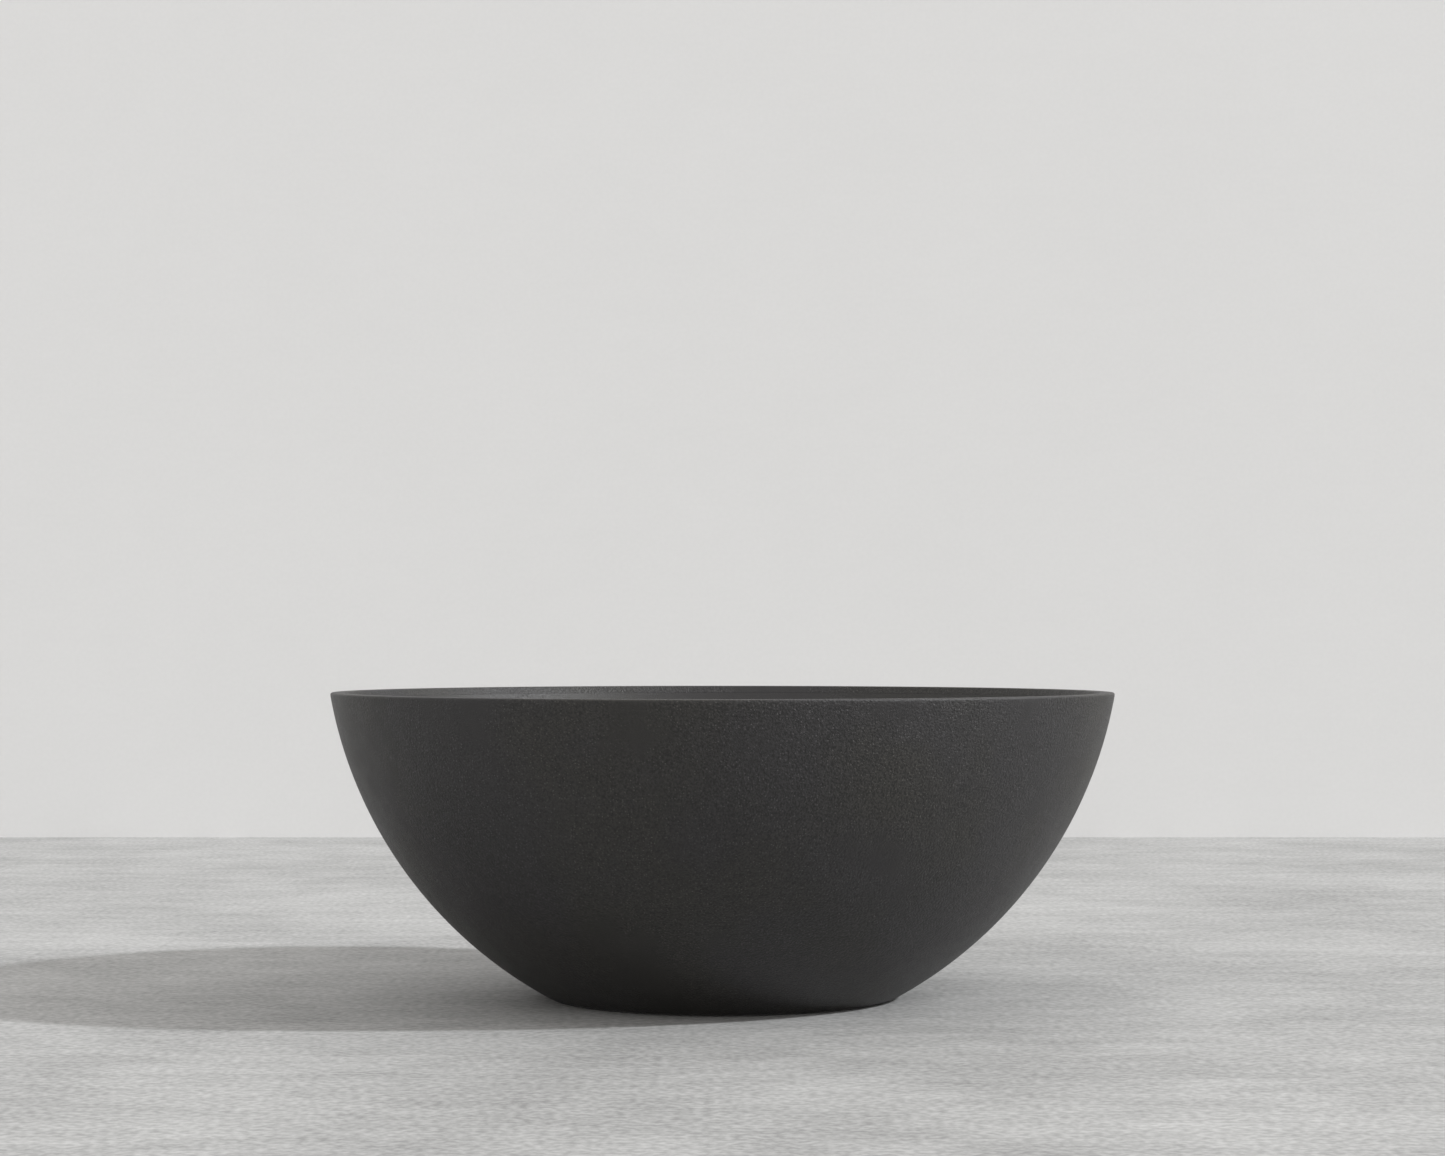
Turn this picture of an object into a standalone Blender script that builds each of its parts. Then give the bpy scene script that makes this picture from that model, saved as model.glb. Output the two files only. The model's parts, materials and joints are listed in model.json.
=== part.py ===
"""A round freestanding bathtub in cast stone, as an assembly of its separate pieces.

The tub is a double shell. The outer shell is the bowl that is seen, with the rim and the foot
ring. The basin hangs in it, bonded under the lip of the rim. A board under the basin's floor
carries four levelling feet, and the waste, the trap and the overflow sit between the shells.

Units are metres, +Z is up, and the origin is at the centre of the foot ring, on the floor.
"""

import math

import bmesh
import bpy

# ---------------------------------------------------------------- driving dimensions

# Outer shell
RIM_RADIUS = 0.750
HEIGHT = 0.585
BOWL_ARC_RADIUS = 0.822
LOWER_EDGE_RADIUS = 0.339
SHADOW_GAP_HEIGHT = 0.004
SHADOW_GAP_DEPTH = 0.008
RIM_WIDTH = 0.027
ARRIS = 0.0035
LIP_THICKNESS = 0.014
SHELL_WALL = 0.014
FOOT_RING_WIDTH = 0.046
FOOT_RING_HEIGHT = 0.022

# Basin
BASIN_WALL = 0.012
FLOOR_HEIGHT = 0.130
FLOOR_THICKNESS = 0.018
FLOOR_FALL = 0.004
HEEL_RADIUS = 0.110
HEEL_SETBACK = 0.125
WALL_ARC_RADIUS = 2.400
BOND_FLANGE = 0.012
DRAIN_HOLE_RADIUS = 0.026
RECESS_DEPTH = 0.005

# Base board
BOARD_THICKNESS = 0.015
BOARD_MARGIN = 0.020
ACCESS_RADIUS = 0.070

# Levelling feet
FOOT_COUNT = 4
PAD_RADIUS = 0.030
PAD_HEIGHT = 0.015
PAD_TO_RING = 0.035
PAD_CLEARANCE = 0.001
STUD_RADIUS = 0.006
STUD_HEADROOM = 0.0135
SOCKET_RADIUS = 0.036
SOCKET_PLATE = 0.003
SOCKET_BOSS_RADIUS = 0.013
SOCKET_BOSS_LENGTH = 0.012
NUT_HEIGHT = 0.010
NUT_FLATS = 0.019
SPANNER_FLATS = 0.017
SPANNER_HEIGHT = 0.010
SCREW_RADIUS = 0.002
SCREW_HEAD_RADIUS = 0.004
SCREW_HEAD_HEIGHT = 0.002
SCREW_CIRCLE_RADIUS = 0.026
SCREW_BITE = 0.011

# Waste and plug
TUBE_RADIUS = 0.0238
TUBE_WALL = 0.0033
TUBE_LENGTH = 0.0558
FLANGE_RADIUS = 0.035
FLANGE_THICKNESS = 0.003
SEAT_DEPTH = 0.0044
SEAT_WIDTH = 0.0057
SEAL_THICKNESS = 0.0012
UNDER_SEAL_THICKNESS = 0.003
BACK_NUT_HEIGHT = 0.0095
BACK_NUT_FLATS = 0.060
CROSS_HEIGHT = 0.006
CROSS_BAR_WIDTH = 0.003
HUB_RADIUS = 0.0075
CARTRIDGE_LENGTH = 0.032
CARTRIDGE_WALL = 0.0015
PIN_RADIUS = 0.004
STEM_RADIUS = 0.004
STEM_HUB_RADIUS = 0.006
SPRING_LENGTH = 0.013
SPRING_WIRE_RADIUS = 0.0005
SPRING_TURNS = 6
PLUG_PRESS = 0.0015
CAP_RADIUS = 0.032
CAP_EDGE = 0.0026
CAP_DOME = 0.002
GASKET_HEIGHT = 0.0048

# Waste body, trap and outlet
BODY_WALL = 0.0045
BODY_FLOOR = 0.004
OUTLET_RADIUS = 0.019
OUTLET_WALL = 0.0035
OUTLET_REACH = 0.052
TRAP_OFFSET = 0.120
TRAP_RADIUS = 0.042
TRAP_WALL = 0.0035
TRAP_FLOOR_CLEARANCE = 0.006
TRAP_TO_BOARD = 0.0115
TRAP_INLET_OVERLAP = 0.008
TRAP_INLET_WALL = 0.0025
LID_HEIGHT = 0.005
LID_PLUG_DEPTH = 0.006
BAFFLE_THICKNESS = 0.003
BAFFLE_GAP = 0.006
PIPE_RADIUS = 0.020
PIPE_WALL = 0.002
SOCKET_WALL = 0.0022
OUTLET_SOCKET_REACH = 0.195
PIPE_DEPTH_IN_SOCKET = 0.020
PIPE_TO_RING = 0.030
NUT_WALL = 0.004
NUT_LIP = 0.003
RUBBER_RING = 0.003

# Overflow
OVERFLOW_HEIGHT = 0.440
OVERFLOW_HOLE_RADIUS = 0.021
OVERFLOW_SEAT_DEPTH = 0.0012
OVERFLOW_BODY_RADIUS = 0.026
OVERFLOW_BODY_DEPTH = 0.0145
OVERFLOW_BODY_WALL = 0.003
GRID_RADIUS = 0.0285
GRID_THICKNESS = 0.003
GRID_BAR_WIDTH = 0.004
COVER_RADIUS = 0.032
COVER_THICKNESS = 0.0025
COVER_DOME = 0.0015
COVER_STANDOFF = 0.0085
COVER_FOOT_RADIUS = 0.002
FIXING_RADIUS = 0.0025
FIXING_HEAD_RADIUS = 0.005
FIXING_HEAD_HEIGHT = 0.0025
SPIGOT_WALL = 0.0018
SPIGOT_REACH = 0.026
HOSE_RADIUS = 0.009
HOSE_WALL = 0.0018
HOSE_OVERLAP = 0.014
HOSE_RISE_START = 0.150
CLIP_WALL = 0.0015
CLIP_WIDTH = 0.008

# Clearances
BOND_GAP = 0.0003
RADIAL_GAP = 0.0005
THREAD_GAP = 0.0004

# Facets
SHELL_STEPS = 40
BOARD_STEPS = 32
ROUND_STEPS = 24
SMALL_STEPS = 16
FINE_STEPS = 8

# ---------------------------------------------------------------- derived places

FOOT_RING_OUTER = LOWER_EDGE_RADIUS - SHADOW_GAP_DEPTH
FOOT_RING_INNER = FOOT_RING_OUTER - FOOT_RING_WIDTH
RIM_INNER = RIM_RADIUS - RIM_WIDTH
BASIN_TOP = HEIGHT - LIP_THICKNESS - BOND_GAP
UNDERSIDE = FLOOR_HEIGHT - FLOOR_THICKNESS
DRAIN_EDGE = FLOOR_HEIGHT - FLOOR_FALL
RECESS_RADIUS = FLANGE_RADIUS + 3 * RADIAL_GAP
RECESS_FLOOR = DRAIN_EDGE - RECESS_DEPTH
BOARD_TOP = UNDERSIDE - BOND_GAP
BOARD_UNDERSIDE = BOARD_TOP - BOARD_THICKNESS
FEET_CIRCLE_RADIUS = FOOT_RING_INNER - PAD_RADIUS - PAD_TO_RING
QUARTER_TURN = math.pi / 2


def meeting_point(low, high, to_low, to_high, side=1):
    """The point to_low from low and to_high from high: towards the tub's axis, or away with -1."""
    span = math.dist(low, high)
    along = (to_low**2 - to_high**2 + span**2) / (2 * span)
    aside = side * math.sqrt(to_low**2 - along**2)
    step_r = (high[0] - low[0]) / span
    step_z = (high[1] - low[1]) / span
    return (low[0] + along * step_r - aside * step_z, low[1] + along * step_z + aside * step_r)


def radius_at(centre, radius, height):
    """How far from the tub's axis an arc is at a height."""
    return centre[0] + math.sqrt(radius**2 - (height - centre[1]) ** 2)


def angle_at(centre, radius, height):
    """The angle on an arc at a height, from the level outward direction."""
    return math.asin((height - centre[1]) / radius)


def arc(centre, radius, start, end, steps):
    """Points along an arc in a profile, from one angle to another."""
    angles = [start + (end - start) * step / steps for step in range(steps + 1)]
    return [(centre[0] + radius * math.cos(a), centre[1] + radius * math.sin(a)) for a in angles]


RIM_POINT = (RIM_RADIUS, HEIGHT - ARRIS)
LOWER_POINT = (LOWER_EDGE_RADIUS, SHADOW_GAP_HEIGHT)
BOWL_CENTRE = meeting_point(LOWER_POINT, RIM_POINT, BOWL_ARC_RADIUS, BOWL_ARC_RADIUS)
SHELL_FACE_RADIUS = BOWL_ARC_RADIUS - SHELL_WALL
FLOOR_RADIUS = radius_at(BOWL_CENTRE, SHELL_FACE_RADIUS, FLOOR_HEIGHT) - HEEL_SETBACK
HEEL_CENTRE = (FLOOR_RADIUS, FLOOR_HEIGHT + HEEL_RADIUS)
WALL_CENTRE = meeting_point(
    HEEL_CENTRE, (RIM_INNER, HEIGHT), WALL_ARC_RADIUS - HEEL_RADIUS, WALL_ARC_RADIUS
)
HEEL_TOP_ANGLE = math.atan2(HEEL_CENTRE[1] - WALL_CENTRE[1], HEEL_CENTRE[0] - WALL_CENTRE[0])
BOARD_RADIUS = FLOOR_RADIUS - BOARD_MARGIN
BACK_RADIUS = WALL_ARC_RADIUS + BASIN_WALL
LAND_RADIUS = SHELL_FACE_RADIUS - RADIAL_GAP
SHELLS_MEET = meeting_point(BOWL_CENTRE, WALL_CENTRE, LAND_RADIUS, BACK_RADIUS, side=-1)
LAND_BOTTOM = min(BASIN_TOP - BOND_FLANGE, SHELLS_MEET[1])

# ---------------------------------------------------------------- scene and materials


def clear_scene():
    for old in list(bpy.data.objects):
        bpy.data.objects.remove(old, do_unlink=True)


def new_collection(name):
    collection = bpy.data.collections.new(name)
    bpy.context.scene.collection.children.link(collection)
    return collection


clear_scene()
PARTS = new_collection("freestanding_bathtub")
CUTTERS = new_collection("cutters")
CUTTERS.hide_render = True


def new_material(name, colour, roughness, metallic=0.0):
    material = bpy.data.materials.new(name)
    material.use_nodes = True
    shader = material.node_tree.nodes["Principled BSDF"]
    shader.inputs["Base Color"].default_value = (*colour, 1.0)
    shader.inputs["Roughness"].default_value = roughness
    shader.inputs["Metallic"].default_value = metallic
    return material


SHELL_STONE = new_material("shell_stone", (0.024, 0.0235, 0.023), 0.50)
BASIN_STONE = new_material("basin_stone", (0.026, 0.0255, 0.025), 0.42)
BOARD_PLY = new_material("board_ply", (0.42, 0.29, 0.17), 0.65)
STEEL = new_material("zinc_steel", (0.55, 0.55, 0.54), 0.35, 1.0)
BRUSHED = new_material("brushed_steel", (0.50, 0.49, 0.47), 0.28, 1.0)
BRASS = new_material("brass", (0.60, 0.42, 0.18), 0.30, 1.0)
RUBBER = new_material("black_rubber", (0.02, 0.02, 0.02), 0.75)
WHITE_PLASTIC = new_material("white_plastic", (0.78, 0.78, 0.76), 0.38)
GREY_PLASTIC = new_material("grey_plastic", (0.30, 0.31, 0.32), 0.45)

# ---------------------------------------------------------------- modelling helpers


def place(name, data, material, location=(0, 0, 0), rotation=(0, 0, 0), parent=None):
    """Puts a mesh or a curve in the scene: a part if it has a material, a cutter if it has none."""
    piece = bpy.data.objects.new(name, data)
    piece.location = location
    piece.rotation_euler = rotation
    piece.parent = parent
    if material:
        data.materials.append(material)
        PARTS.objects.link(piece)
    else:
        CUTTERS.objects.link(piece)
        piece.hide_render = True
        piece.display_type = "WIRE"
    return piece


def turned(name, profile, material, steps=SMALL_STEPS, ring=True, **where):
    """A turned piece. A ring's profile is a closed loop; the others start and end on the axis."""
    mesh = bpy.data.meshes.new(name)
    edges = [(i, i + 1) for i in range(len(profile) - 1)]
    if ring:
        edges.append((len(profile) - 1, 0))
    mesh.from_pydata([(r, 0, z) for r, z in profile], edges, [])
    piece = place(name, mesh, material, **where)
    screw = piece.modifiers.new("turn", "SCREW")
    screw.steps = steps
    screw.render_steps = steps
    screw.use_merge_vertices = True
    screw.merge_threshold = 0.00001
    return piece


def sleeve(name, inner, outer, low, high, material, steps=SMALL_STEPS, **where):
    """A plain turned ring."""
    profile = [(outer, high), (outer, low), (inner, low), (inner, high)]
    return turned(name, profile, material, steps, **where)


def prism(name, radius, low, high, material, sides=SMALL_STEPS, **where):
    """A cylinder, or with few sides a prism, that stands on its local Z axis."""
    mesh = bpy.data.meshes.new(name)
    work = bmesh.new()
    bmesh.ops.create_cone(
        work, cap_ends=True, segments=sides, radius1=radius, radius2=radius, depth=high - low
    )
    bmesh.ops.translate(work, verts=work.verts, vec=(0, 0, (low + high) / 2))
    work.to_mesh(mesh)
    work.free()
    return place(name, mesh, material, **where)


def box(name, size, centre, material, **where):
    """A rectangular block about a centre in its own space."""
    mesh = bpy.data.meshes.new(name)
    work = bmesh.new()
    bmesh.ops.create_cube(work, size=1.0)
    bmesh.ops.scale(work, verts=work.verts, vec=size)
    bmesh.ops.translate(work, verts=work.verts, vec=centre)
    work.to_mesh(mesh)
    work.free()
    return place(name, mesh, material, **where)


def combine(piece, other, operation):
    modifier = piece.modifiers.new(other.name, "BOOLEAN")
    modifier.operation = operation
    modifier.solver = "EXACT"
    modifier.object = other


def cut(piece, *cutters):
    for cutter in cutters:
        combine(piece, cutter, "DIFFERENCE")


def add(piece, *extras):
    for extra in extras:
        combine(piece, extra, "UNION")


def settle(pieces):
    """Applies the modifiers and shades the round faces smooth, with the edges left crisp."""
    bpy.context.view_layer.update()
    graph = bpy.context.evaluated_depsgraph_get()
    finished = {}
    for piece in pieces:
        finished[piece] = bpy.data.meshes.new_from_object(piece.evaluated_get(graph))
    for piece, mesh in finished.items():
        mesh.shade_smooth()
        mesh.set_sharp_from_angle(angle=math.radians(32))
        piece.modifiers.clear()
        piece.data = mesh


def across_corners(flats):
    """The corner radius of a hexagon from its width across flats."""
    return flats / math.sqrt(3)


# ---------------------------------------------------------------- shells and board


def rounded_corner(corner, towards_r, towards_z):
    """Three points that round a square corner of a profile by the arris."""
    slack = ARRIS * (1 - math.sqrt(0.5))
    return [
        (corner[0], corner[1] + towards_z * ARRIS),
        (corner[0] + towards_r * slack, corner[1] + towards_z * slack),
        (corner[0] + towards_r * ARRIS, corner[1]),
    ]


def make_outer_shell():
    outside = arc(
        BOWL_CENTRE,
        BOWL_ARC_RADIUS,
        angle_at(BOWL_CENTRE, BOWL_ARC_RADIUS, RIM_POINT[1]),
        angle_at(BOWL_CENTRE, BOWL_ARC_RADIUS, SHADOW_GAP_HEIGHT),
        11,
    )
    foot_ring = [
        (FOOT_RING_OUTER, SHADOW_GAP_HEIGHT),
        (FOOT_RING_OUTER, 0),
        (FOOT_RING_INNER, 0),
        (FOOT_RING_INNER, FOOT_RING_HEIGHT),
    ]
    inside = arc(
        BOWL_CENTRE,
        SHELL_FACE_RADIUS,
        angle_at(BOWL_CENTRE, SHELL_FACE_RADIUS, FOOT_RING_HEIGHT),
        angle_at(BOWL_CENTRE, SHELL_FACE_RADIUS, LAND_BOTTOM),
        8,
    )
    lip_low = HEIGHT - LIP_THICKNESS
    lip = [
        (radius_at(BOWL_CENTRE, SHELL_FACE_RADIUS, lip_low), lip_low),
        (radius_at(WALL_CENTRE, WALL_ARC_RADIUS, lip_low), lip_low),
    ]
    lip += rounded_corner((RIM_INNER, HEIGHT), 1, -1)
    top = list(reversed(rounded_corner((RIM_RADIUS, HEIGHT), -1, -1)))[:-1]
    profile = outside + foot_ring + inside + lip + top
    return turned("outer_shell", profile, SHELL_STONE, SHELL_STEPS)


def overflow_mouth():
    """Where the overflow's axis meets the inside of the basin, and how far the wall leans there."""
    lean = -angle_at(WALL_CENTRE, WALL_ARC_RADIUS, OVERFLOW_HEIGHT)
    return radius_at(WALL_CENTRE, WALL_ARC_RADIUS, OVERFLOW_HEIGHT), lean


def make_basin():
    land = [
        (radius_at(BOWL_CENTRE, LAND_RADIUS, BASIN_TOP), BASIN_TOP),
        (radius_at(BOWL_CENTRE, LAND_RADIUS, LAND_BOTTOM), LAND_BOTTOM),
    ]
    back = arc(
        WALL_CENTRE,
        BACK_RADIUS,
        angle_at(WALL_CENTRE, BACK_RADIUS, LAND_BOTTOM),
        HEEL_TOP_ANGLE,
        5,
    )
    heel_back = arc(
        HEEL_CENTRE, HEEL_RADIUS + BASIN_WALL, HEEL_TOP_ANGLE, math.radians(-75), 4
    )
    underside = [
        (heel_back[-1][0], UNDERSIDE),
        (DRAIN_HOLE_RADIUS, UNDERSIDE),
        (DRAIN_HOLE_RADIUS, RECESS_FLOOR),
        (RECESS_RADIUS, RECESS_FLOOR),
        (RECESS_RADIUS, DRAIN_EDGE),
    ]
    heel = arc(HEEL_CENTRE, HEEL_RADIUS, -QUARTER_TURN, HEEL_TOP_ANGLE, 5)
    wall = arc(
        WALL_CENTRE,
        WALL_ARC_RADIUS,
        HEEL_TOP_ANGLE,
        angle_at(WALL_CENTRE, WALL_ARC_RADIUS, BASIN_TOP),
        5,
    )
    profile = land + back[1:] + heel_back[1:] + underside + heel + wall[1:]
    basin = turned("basin", profile, BASIN_STONE, SHELL_STEPS)
    through = 2 * BASIN_WALL
    where = {"sides": ROUND_STEPS, "parent": OVERFLOW_AXIS}
    cut(
        basin,
        prism("overflow_hole", OVERFLOW_HOLE_RADIUS, -through, through, None, **where),
        prism("overflow_seat", GRID_RADIUS + RADIAL_GAP, -OVERFLOW_SEAT_DEPTH, through, None, **where),
    )


def make_base_board():
    board = sleeve(
        "base_board", ACCESS_RADIUS, BOARD_RADIUS, BOARD_UNDERSIDE, BOARD_TOP, BOARD_PLY, BOARD_STEPS
    )
    for number, centre in foot_places():
        place_of_hole = {"location": centre}
        radius = STUD_RADIUS + 4 * RADIAL_GAP
        cut(board, prism(f"stud_hole_{number}", radius, 0, HEIGHT, None, **place_of_hole))
        for letter, spot in screw_places(centre):
            pilot = prism(
                f"pilot_hole_{number}{letter}",
                SCREW_RADIUS + BOND_GAP,
                0,
                HEIGHT,
                None,
                sides=FINE_STEPS,
                location=spot,
            )
            cut(board, pilot)


# ---------------------------------------------------------------- levelling feet


def foot_places():
    """The number of each foot, from 1, and where its axis meets the floor."""
    for index in range(FOOT_COUNT):
        angle = math.tau * (index + 0.5) / FOOT_COUNT
        spot = (FEET_CIRCLE_RADIUS * math.cos(angle), FEET_CIRCLE_RADIUS * math.sin(angle), 0)
        yield index + 1, spot


def screw_places(centre):
    """The two screws of a foot socket, one on each side along its circle."""
    angle = math.atan2(centre[1], centre[0]) + QUARTER_TURN
    for letter, side in (("a", 1), ("b", -1)):
        reach = side * SCREW_CIRCLE_RADIUS
        yield letter, (centre[0] + reach * math.cos(angle), centre[1] + reach * math.sin(angle), 0)


def make_foot(number, centre):
    plate_top = BOARD_UNDERSIDE - BOND_GAP
    plate_bottom = plate_top - SOCKET_PLATE
    boss_bottom = plate_bottom - SOCKET_BOSS_LENGTH
    bore = STUD_RADIUS + THREAD_GAP
    socket_profile = [
        (SOCKET_RADIUS, plate_top),
        (SOCKET_RADIUS, plate_bottom),
        (SOCKET_BOSS_RADIUS, plate_bottom),
        (SOCKET_BOSS_RADIUS, boss_bottom),
        (bore, boss_bottom),
        (bore, plate_top),
    ]
    socket = turned(f"foot_socket_{number}", socket_profile, STEEL, location=centre)
    head_top = plate_bottom - BOND_GAP
    for letter, spot in screw_places(centre):
        hole = prism(
            f"socket_hole_{number}{letter}",
            SCREW_RADIUS + THREAD_GAP,
            0,
            HEIGHT,
            None,
            sides=FINE_STEPS,
            location=spot,
        )
        cut(socket, hole)
        screw_profile = [
            (0, plate_top + SCREW_BITE),
            (SCREW_RADIUS, plate_top + SCREW_BITE - SCREW_RADIUS),
            (SCREW_RADIUS, head_top),
            (SCREW_HEAD_RADIUS, head_top),
            (SCREW_HEAD_RADIUS, head_top - SCREW_HEAD_HEIGHT / 2),
            (SCREW_HEAD_RADIUS / 2, head_top - SCREW_HEAD_HEIGHT),
            (0, head_top - SCREW_HEAD_HEIGHT),
        ]
        name = f"foot_screw_{number}{letter}"
        turned(name, screw_profile, STEEL, FINE_STEPS, ring=False, location=spot)
    nut_top = boss_bottom - BOND_GAP
    nut = prism(
        f"foot_nut_{number}",
        across_corners(NUT_FLATS),
        nut_top - NUT_HEIGHT,
        nut_top,
        STEEL,
        sides=6,
        location=centre,
    )
    cut(nut, prism(f"nut_bore_{number}", bore, 0, HEIGHT, None, location=centre))

    pad_top = PAD_CLEARANCE + PAD_HEIGHT
    stud_end = PAD_CLEARANCE + PAD_HEIGHT / 2
    pad_bore = STUD_RADIUS + THREAD_GAP
    pad_profile = [
        (0, stud_end - BOND_GAP),
        (pad_bore, stud_end - BOND_GAP),
        (pad_bore, pad_top),
        (pad_bore + PAD_HEIGHT / 3, pad_top),
        (PAD_RADIUS, PAD_CLEARANCE + PAD_HEIGHT / 3),
        (PAD_RADIUS, PAD_CLEARANCE),
        (0, PAD_CLEARANCE),
    ]
    turned(f"foot_pad_{number}", pad_profile, RUBBER, ring=False, location=centre)
    stud_top = UNDERSIDE - STUD_HEADROOM
    stud_profile = [
        (0, stud_top),
        (STUD_RADIUS * 0.75, stud_top),
        (STUD_RADIUS, stud_top - STUD_RADIUS * 0.25),
        (STUD_RADIUS, stud_end),
        (0, stud_end),
    ]
    stud = turned(f"foot_stud_{number}", stud_profile, STEEL, ring=False, location=centre)
    spanner_low = pad_top + SPANNER_HEIGHT / 2
    hexagon = prism(
        f"spanner_hexagon_{number}",
        across_corners(SPANNER_FLATS),
        spanner_low,
        spanner_low + SPANNER_HEIGHT,
        None,
        sides=6,
        location=centre,
    )
    add(stud, hexagon)


# ---------------------------------------------------------------- waste and plug

FLANGE_BOTTOM = RECESS_FLOOR + 2 * BOND_GAP + SEAL_THICKNESS
FLANGE_TOP = FLANGE_BOTTOM + FLANGE_THICKNESS
TUBE_BORE = TUBE_RADIUS - TUBE_WALL
TUBE_END = FLANGE_TOP - TUBE_LENGTH
SEAT_RADIUS = TUBE_BORE + SEAT_WIDTH
CROSS_LOW = TUBE_END + CROSS_HEIGHT * 2 / 3
CROSS_TOP = CROSS_LOW + CROSS_HEIGHT
CARTRIDGE_LOW = CROSS_TOP + BOND_GAP
CARTRIDGE_TOP = CARTRIDGE_LOW + CARTRIDGE_LENGTH
SPRING_LOW = CARTRIDGE_LOW + 2 * CARTRIDGE_WALL
STEM_END = SPRING_LOW + SPRING_LENGTH + BOND_GAP
CAP_UNDERSIDE = FLANGE_TOP + PLUG_PRESS + RADIAL_GAP
SEALS_INNER = TUBE_RADIUS + RADIAL_GAP


def make_waste_flange():
    profile = [
        (FLANGE_RADIUS, FLANGE_TOP - FLANGE_THICKNESS / 3),
        (FLANGE_RADIUS, FLANGE_BOTTOM),
        (TUBE_RADIUS, FLANGE_BOTTOM),
        (TUBE_RADIUS, TUBE_END),
        (TUBE_BORE, TUBE_END),
        (TUBE_BORE, FLANGE_TOP - SEAT_DEPTH),
        (SEAT_RADIUS, FLANGE_TOP - FLANGE_THICKNESS / 6),
        (SEAT_RADIUS + FLANGE_THICKNESS / 3, FLANGE_TOP),
        (FLANGE_RADIUS - FLANGE_THICKNESS / 2, FLANGE_TOP),
    ]
    flange = turned("waste_flange", profile, BRUSHED, ROUND_STEPS)
    middle = (CROSS_LOW + CROSS_TOP) / 2
    span = 2 * TUBE_RADIUS - TUBE_WALL
    add(
        flange,
        box("cross_bar_x", (span, CROSS_BAR_WIDTH, CROSS_HEIGHT), (0, 0, middle), None),
        box("cross_bar_y", (CROSS_BAR_WIDTH, span, CROSS_HEIGHT), (0, 0, middle), None),
        prism("cross_hub", HUB_RADIUS, CROSS_LOW - TUBE_WALL / 3, CROSS_TOP, None),
    )
    cut(flange, prism("cross_thread", PIN_RADIUS + THREAD_GAP, 0, CROSS_TOP * 1.1, None))


def make_waste_fixings():
    low = RECESS_FLOOR + BOND_GAP
    sleeve("flange_seal", SEALS_INNER, FLANGE_RADIUS, low, low + SEAL_THICKNESS, RUBBER, ROUND_STEPS)
    top = UNDERSIDE - BOND_GAP
    low = top - UNDER_SEAL_THICKNESS
    washer_radius = DRAIN_HOLE_RADIUS + UNDER_SEAL_THICKNESS * 3
    sleeve("under_seal", SEALS_INNER, washer_radius, low, top, RUBBER, ROUND_STEPS)
    top = low - BOND_GAP
    low = top - BACK_NUT_HEIGHT
    nut = prism("back_nut", across_corners(BACK_NUT_FLATS), low, top, BRASS, sides=6)
    cut(nut, prism("back_nut_bore", TUBE_RADIUS + THREAD_GAP, 0, HEIGHT, None, sides=ROUND_STEPS))
    return low


def make_cartridge():
    outer = HUB_RADIUS
    cavity = outer - CARTRIDGE_WALL
    floor = SPRING_LOW - BOND_GAP
    profile = [
        (0, floor),
        (cavity, floor),
        (cavity, CARTRIDGE_TOP - CARTRIDGE_WALL),
        (STEM_RADIUS + THREAD_GAP, CARTRIDGE_TOP - CARTRIDGE_WALL),
        (STEM_RADIUS + THREAD_GAP, CARTRIDGE_TOP),
        (outer, CARTRIDGE_TOP),
        (outer, CARTRIDGE_LOW),
        (PIN_RADIUS, CARTRIDGE_LOW),
        (PIN_RADIUS, CROSS_LOW),
        (0, CROSS_LOW),
    ]
    turned("clicker_body", profile, BRASS, SMALL_STEPS, ring=False)


def make_spring():
    coil_radius = HUB_RADIUS - CARTRIDGE_WALL - SPRING_WIRE_RADIUS - THREAD_GAP
    rise = SPRING_LENGTH - 2 * SPRING_WIRE_RADIUS
    points = SPRING_TURNS * 8
    curve = bpy.data.curves.new("plug_spring", "CURVE")
    curve.dimensions = "3D"
    curve.bevel_depth = SPRING_WIRE_RADIUS
    curve.bevel_resolution = 0
    curve.use_fill_caps = True
    spline = curve.splines.new("POLY")
    spline.points.add(points)
    for index, point in enumerate(spline.points):
        angle = math.tau * SPRING_TURNS * index / points
        height = SPRING_LOW + SPRING_WIRE_RADIUS + rise * index / points
        point.co = (coil_radius * math.cos(angle), coil_radius * math.sin(angle), height, 1)
    place("plug_spring", curve, STEEL)


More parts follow.
